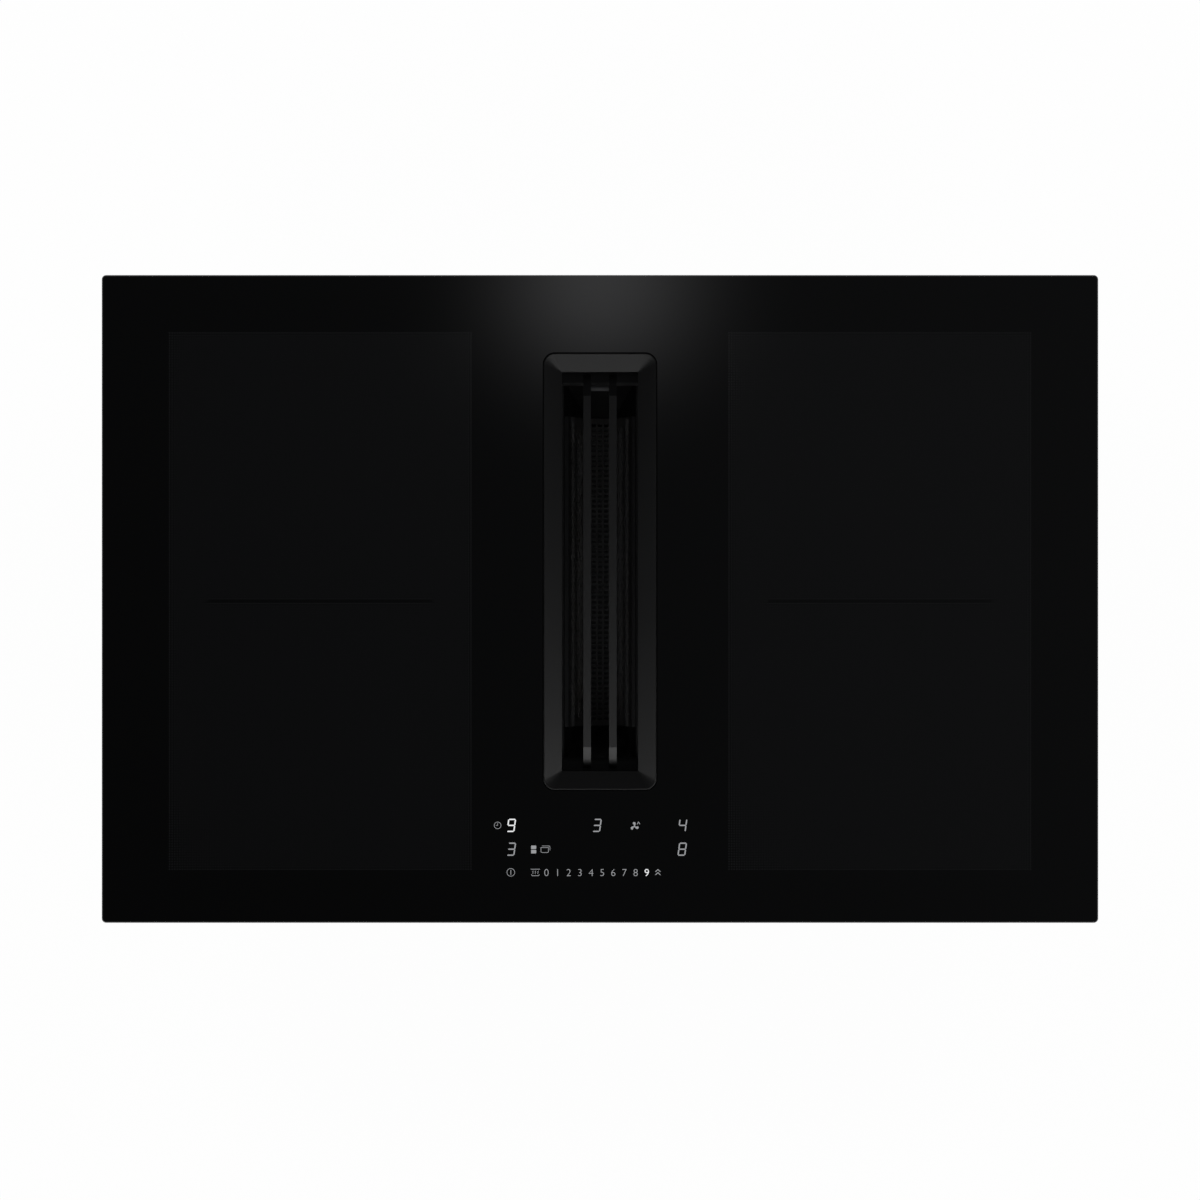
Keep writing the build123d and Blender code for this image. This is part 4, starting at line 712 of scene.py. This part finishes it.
class COOKTOP_OT_marks(bpy.types.Operator):
    """Lit digits, slider numbers and symbols on the glass"""

    bl_idname = "cooktop.marks"
    bl_label = "Control marks"

    segments = {"3": "abgcd", "4": "fgbc", "8": "abcdefg", "9": "abcdfg"}
    # Each digit and the middle of its place, in millimetres.
    lit_digits = (("9", -71.2, -181.8),)
    dim_digits = (("3", -71.2, -200.9), ("3", -2.4, -181.8), ("4", 66.3, -181.8), ("8", 66.0, -200.9))
    digit_slant = 0.14
    segment_gap = 0.12
    chosen_number = 9
    plain_thinning = 0.13 * MM
    chosen_thinning = 0.03 * MM
    glass_gap = 0.01 * MM
    lit_strength = 0.95
    # Printed marks glow at this strength: painted light, the same under any lamp.
    dim_strength = 0.62

    def execute(self, context):
        self.sizes = context.scene.cooktop_sizes
        colours = context.scene.cooktop_colours
        self.low = glass_top + self.glass_gap
        self.high = self.low + self.sizes.ink
        lit = lamp_lit("Lit digits", tuple(colours.lit), self.lit_strength)
        # The printed digits, slider numbers and symbols glow: painted light.
        ink = lamp_lit("Printed marks", tuple(colours.ink), self.dim_strength)
        for name, digits, finish in (("lit_power_digit", self.lit_digits, lit), ("power_digits", self.dim_digits, ink)):
            build = bmesh.new()
            for sign, x, y in digits:
                self.digit(build, sign, x, y)
            piece(name, mesh_of(build, name), finish, "cooktop")
        build = bmesh.new()
        for symbol in (self.clock, self.bridge, self.pan, self.power, self.keep_warm, self.fan, self.boost):
            symbol(build)
        piece("symbols", mesh_of(build, "symbols"), ink, "cooktop")
        self.numbers(ink, lit)
        return {"FINISHED"}

    def line(self, build, points, width, closed=False):
        """A printed line, in millimetres."""
        stroke(build, [(x * MM, y * MM) for x, y in points], width * MM, self.low, self.high, closed)

    def block(self, build, points):
        """A printed field, in millimetres."""
        prism(build, [(x * MM, y * MM) for x, y in points], self.low, self.high)

    def digit(self, build, sign, x, y):
        """A slanted seven-segment digit about its middle, in millimetres."""
        width, height = self.sizes.digit_width / MM, self.sizes.digit_height / MM
        half = self.sizes.digit_stroke / MM / 2
        right, top, gap = width / 2 - half, height / 2 - half, self.segment_gap
        bars = {
            "a": ((-right, top), (right, top)), "g": ((-right, 0), (right, 0)), "d": ((-right, -top), (right, -top)),
            "f": ((-right, 0), (-right, top)), "b": ((right, 0), (right, top)),
            "e": ((-right, -top), (-right, 0)), "c": ((right, -top), (right, 0)),
        }
        for letter in self.segments[sign]:
            (ax, ay), (bx, by) = bars[letter]
            if ay == by:
                outline = [(ax + gap, ay), (ax + half, ay - half), (bx - half, by - half), (bx - gap, by),
                           (bx - half, by + half), (ax + half, ay + half)]
            else:
                outline = [(ax, ay + gap), (ax + half, ay + half), (bx + half, by - half), (bx, by - gap),
                           (bx - half, by - half), (ax - half, ay + half)]
            self.block(build, [(x + u + self.digit_slant * v, y + v) for u, v in outline])

    def clock(self, build):
        """A dial with two hands."""
        x, y = -82.2, -181.8
        self.line(build, circle(x, y, 2.7, 28), 0.36, closed=True)
        self.line(build, [(x, y + 1.7), (x, y), (x - 1.4, y)], 0.34)

    def bridge(self, build):
        """Two stacked fields that can be joined."""
        for y in (-199.4, -202.9):
            self.block(build, [(-55.3, y - 1.4), (-51.6, y - 1.4), (-51.2, y - 1.0), (-51.2, y + 1.0), (-51.6, y + 1.4),
                               (-55.3, y + 1.4)])

    def pan(self, build):
        """Outline of a pot with its lid edge behind."""
        corners = [(-46.6, -203.6), (-42.0, -203.6), (-41.4, -203.0), (-41.4, -199.6), (-47.4, -199.6),
                   (-47.4, -203.0)]
        self.line(build, corners, 0.38, closed=True)
        self.line(build, [(-46.6, -198.3), (-40.9, -198.3), (-40.2, -199.0), (-40.2, -201.8)], 0.36)

    def power(self, build):
        """A ring with an upright line."""
        x, y = -71.6, -219.5
        self.line(build, circle(x, y, 3.1, 30), 0.38, closed=True)
        self.line(build, [(x, y + 1.9), (x, y - 1.9)], 0.5)

    def keep_warm(self, build):
        """A lid line, three waves of warmth and a plate."""
        self.line(build, [(-55.6, -217.0), (-48.2, -217.0)], 0.42)
        for x in (-53.9, -51.9, -49.9):
            self.line(build, [(x + 0.5, -218.2), (x - 0.2, -219.1), (x + 0.3, -219.8), (x - 0.3, -220.7)], 0.32)
        self.line(build, [(-55.2, -221.2), (-54.4, -222.2), (-49.4, -222.2), (-48.6, -221.2)], 0.42)

    def fan(self, build):
        """Three blades round a hub and a small caret."""
        x, y = 27.7, -182.6
        for turn in (95.0, 215.0, 335.0):
            outline = []
            for radius, angle in ((0.7, -30), (2.0, -34), (3.3, -16), (3.6, 8), (3.0, 26), (2.0, 22), (1.0, 14)):
                outline.append((x + radius * math.cos(math.radians(turn + angle)),
                                y + radius * math.sin(math.radians(turn + angle))))
            self.block(build, outline)
        disc(build, x * MM, y * MM, 0.75 * MM, self.low, self.high)
        self.line(build, [(29.8, -180.9), (30.9, -179.0), (32.0, -180.9)], 0.55)

    def boost(self, build):
        """Two chevrons after the highest number."""
        x = self.sizes.slider_start / MM + 10 * self.sizes.slider_pitch / MM
        y = self.sizes.slider_y / MM
        for lift in (-1.9, 0.6):
            self.line(build, [(x - 2.0, y + lift), (x, y + lift + 1.9), (x + 2.0, y + lift)], 0.6)

    def numbers(self, ink, lit):
        """Numbers of the power slider, set in plain upright figures. The chosen one is lit."""
        sizes = self.sizes
        for value in range(10):
            chosen = value == self.chosen_number
            text = bpy.data.curves.new("slider_number", "FONT")
            text.body = str(value)
            text.align_x, text.align_y = "CENTER", "CENTER"
            text.size = sizes.slider_size
            text.extrude = sizes.ink / 2
            text.offset = -(self.chosen_thinning if chosen else self.plain_thinning)
            text.resolution_u = 4
            source = bpy.data.objects.new("slider_number_source", text)
            mesh = bpy.data.meshes.new_from_object(source)
            bpy.data.objects.remove(source)
            mesh.name = "slider_number_%d" % value
            build = bmesh.new()
            build.from_mesh(mesh)
            bmesh.ops.remove_doubles(build, verts=build.verts, dist=0.001 * MM)
            low_x, high_x = span(vert.co.x for vert in build.verts)
            low_y, high_y = span(vert.co.y for vert in build.verts)
            place = Vector((sizes.slider_start + value * sizes.slider_pitch - (low_x + high_x) / 2,
                            sizes.slider_y - (low_y + high_y) / 2, self.low + sizes.ink / 2))
            bmesh.ops.translate(build, verts=build.verts, vec=place)
            build.to_mesh(mesh)
            build.free()
            mesh.materials.clear()
            piece(mesh.name, mesh, lit if chosen else ink, "cooktop")


class COOKTOP_OT_cover(bpy.types.Operator):
    """Inlet cover, grease filter and drip tray"""

    bl_idname = "cooktop.cover"
    bl_label = "Inlet cover and filter"

    def execute(self, context):
        coated_cover().give("cover_frame", "cover_bar_left", "cover_bar_right")
        steel = tuple(context.scene.cooktop_colours.steel)
        mesh_top, frame_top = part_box("filter_mesh_left")[1].z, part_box("filter_frame")[1].z
        filter_steel("Filter mesh steel", steel, mesh_top).give("filter_mesh_left", "filter_mesh_right", "filter_floor")
        filter_steel("Black filter frame", darker(steel, 0.19), frame_top).give("filter_frame")
        rolled("Polished steel tab", (0.2, 0.2, 0.2), 0.34, "x").give("filter_lift_tab")
        rolled("Screw steel", (0.55, 0.55, 0.54), 0.34, "z").give("cover_screws")
        enamel("Black enamel", (0.011, 0.011, 0.012)).give("drip_tray")
        rubbery("Cover seal", (0.012, 0.012, 0.013)).give("cover_seal")
        moulded("Black moulding", (0.02, 0.02, 0.021), 0.55).give("inlet_collar", "air_shaft")
        return {"FINISHED"}


class COOKTOP_OT_casing(bpy.types.Operator):
    """Sheet casing, its frame, springs and screws"""

    bl_idname = "cooktop.casing"
    bl_label = "Casing"

    def execute(self, context):
        zinc = tuple(context.scene.cooktop_colours.zinc)
        zinc_sheet("Zinc-coated sheet", zinc).give("casing_tray", "motor_plate", "fan_deck", "rotor_cup")
        rolled("Aluminium", (0.62, 0.63, 0.64), 0.36, "y").give(
            "mounting_frame", "shield_plate_left", "shield_plate_right", "heat_sinks", "coil_sensors")
        rolled("Spring steel", (0.3, 0.3, 0.31), 0.42, "z", 0.4).give("worktop_springs")
        steel = rolled("Zinc-plated screw", (0.6, 0.6, 0.58), 0.3, "x")
        self.screws("casing_screws", "casing_screw_heads", steel)
        self.screws("fan_box_screws", "fan_box_screw_heads", steel)
        return {"FINISHED"}

    def screws(self, node, name, finish):
        """Pan-head screws with a six-lobed recess, one on each plain screw of a node."""
        build = bmesh.new()
        for corners in separate_solids(nodes[node].data):
            (low_x, high_x), (low_y, high_y), (low, high) = (span(corner[axis] for corner in corners)
                                                             for axis in range(3))
            middle, head = ((low_x + high_x) / 2, (low_y + high_y) / 2), (high_x - low_x) / 2
            # The heads point down: a rim lies beyond 0.9 of its head's radius, and the shank stands on its seat.
            away = [math.hypot(corner.x - middle[0], corner.y - middle[1]) for corner in corners]
            seat = max(corner.z for corner, radius in zip(corners, away) if radius > 0.9 * head)
            shank = max(radius for corner, radius in zip(corners, away) if corner.z > seat + 0.1 * MM)
            self.pan_head(build, middle, head, low, seat, shank, high)
        piece(name, mesh_of(build, name), finish, "cooktop", (node,))

    def pan_head(self, build, middle, head, low, seat, shank, top):
        """Recess, dome, flange and a threaded shank, from below up."""
        steps, lobe_count, lobe_share, recess = 36, 6, 0.2, 0.52 * head
        lobes = [recess * (1.0 + lobe_share * math.cos(lobe_count * 2 * math.pi * step / steps))
                 for step in range(steps)]
        recess_floor = [0.82 * radius for radius in lobes]
        height = seat - low
        profile = [(recess_floor, low + 0.62 * height), (lobes, low + 0.02 * height), (0.72 * head, low),
                   (0.9 * head, low + 0.16 * height), (0.985 * head, low + 0.42 * height), (head, low + 0.7 * height),
                   (head, seat)]
        pitch, root = 0.7 * MM, 0.9 * shank
        level = seat
        while level + pitch < top:
            profile += [(root, level + 0.05 * pitch), (shank, level + 0.5 * pitch), (root, level + 0.95 * pitch)]
            level += pitch
        profile += [(0.88 * shank, max(level, top - 0.3 * MM)), (0.6 * shank, top)]
        turned(build, profile, steps, middle)


class COOKTOP_OT_fan_box(bpy.types.Operator):
    """Fan box, duct outlet and mains terminal box"""

    bl_idname = "cooktop.fan_box"
    bl_label = "Fan box"

    def execute(self, context):
        plastic = tuple(context.scene.cooktop_colours.plastic)
        moulded("Fan box moulding", plastic, 0.56, 1500.0, 0.05 * MM).give(
            "fan_box_base", "fan_box_lid", "fan_scroll", "outlet_spigot")
        moulded("Terminal box moulding", (0.014, 0.014, 0.015), 0.48).give("terminal_box", "terminal_lid")
        moulded("Gland nylon", (0.022, 0.022, 0.023), 0.38, 900.0).give("cable_gland")
        moulded("Pale terminal nylon", (0.6, 0.6, 0.56), 0.42).give("terminal_block")
        moulded("Glass-filled moulding", (0.06, 0.06, 0.064), 0.6, 1200.0).give(
            "impeller", "inlet_ring", "coil_carriers", "support_posts", "control_bracket")
        rolled("Ground steel", (0.6, 0.6, 0.6), 0.22, "z").give("motor_shaft", "motor_bearings")
        rubbery("Motor rubber", (0.03, 0.03, 0.031)).give("motor_mounts")
        return {"FINISHED"}


class COOKTOP_OT_inside(bpy.types.Operator):
    """Coils, boards, blowers and controls inside the casing"""

    bl_idname = "cooktop.inside"
    bl_label = "Inside the casing"

    def execute(self, context):
        wound_copper().give("coil_windings", "filter_chokes", "motor_stator")
        mica_sheet().give("mica_sheets")
        circuit_board().give("power_boards", "control_board")
        moulded("Ferrite", (0.035, 0.035, 0.037), 0.5, 700.0).give("ferrite_bars")
        moulded("Black component", (0.018, 0.018, 0.019), 0.4, 1500.0).give(
            "power_transistors", "blower_housings", "blower_rotor_left", "blower_rotor_right", "display_modules")
        moulded("Grey component", (0.3, 0.31, 0.33), 0.42, 1500.0).give("film_capacitors")
        rubbery("Silicone", (0.3, 0.3, 0.29)).give("coil_buffers", "touch_sensors")
        rubbery("Wire insulation", (0.05, 0.05, 0.052)).give("coil_leads", "control_cable")
        return {"FINISHED"}


class COOKTOP_PT_panel(bpy.types.Panel):
    """Sizes, colours and pieces of the cooktop"""

    bl_idname = "COOKTOP_PT_panel"
    bl_label = "Cooktop"
    bl_space_type = "VIEW_3D"
    bl_region_type = "UI"
    bl_category = "Cooktop"

    def draw(self, context):
        layout = self.layout
        for group in (context.scene.cooktop_sizes, context.scene.cooktop_colours):
            box = layout.box()
            for name in group.__annotations__:
                box.prop(group, name)
        for operator in operators:
            layout.operator(operator.bl_idname)


operators = (COOKTOP_OT_stage, COOKTOP_OT_glass, COOKTOP_OT_marks, COOKTOP_OT_cover, COOKTOP_OT_casing,
             COOKTOP_OT_fan_box, COOKTOP_OT_inside)
classes = (CooktopSizes, CooktopColours, *operators, COOKTOP_PT_panel)


def register():
    for entry in classes:
        bpy.utils.register_class(entry)
    bpy.types.Scene.cooktop_sizes = bpy.props.PointerProperty(type=CooktopSizes)
    bpy.types.Scene.cooktop_colours = bpy.props.PointerProperty(type=CooktopColours)


def unregister():
    del bpy.types.Scene.cooktop_colours
    del bpy.types.Scene.cooktop_sizes
    for entry in reversed(classes):
        bpy.utils.unregister_class(entry)


def main():
    """Runs every operator in order."""
    register()
    for operator in operators:
        family, name = operator.bl_idname.split(".")
        getattr(getattr(bpy.ops, family), name)()


if __name__ == "__main__":
    main()
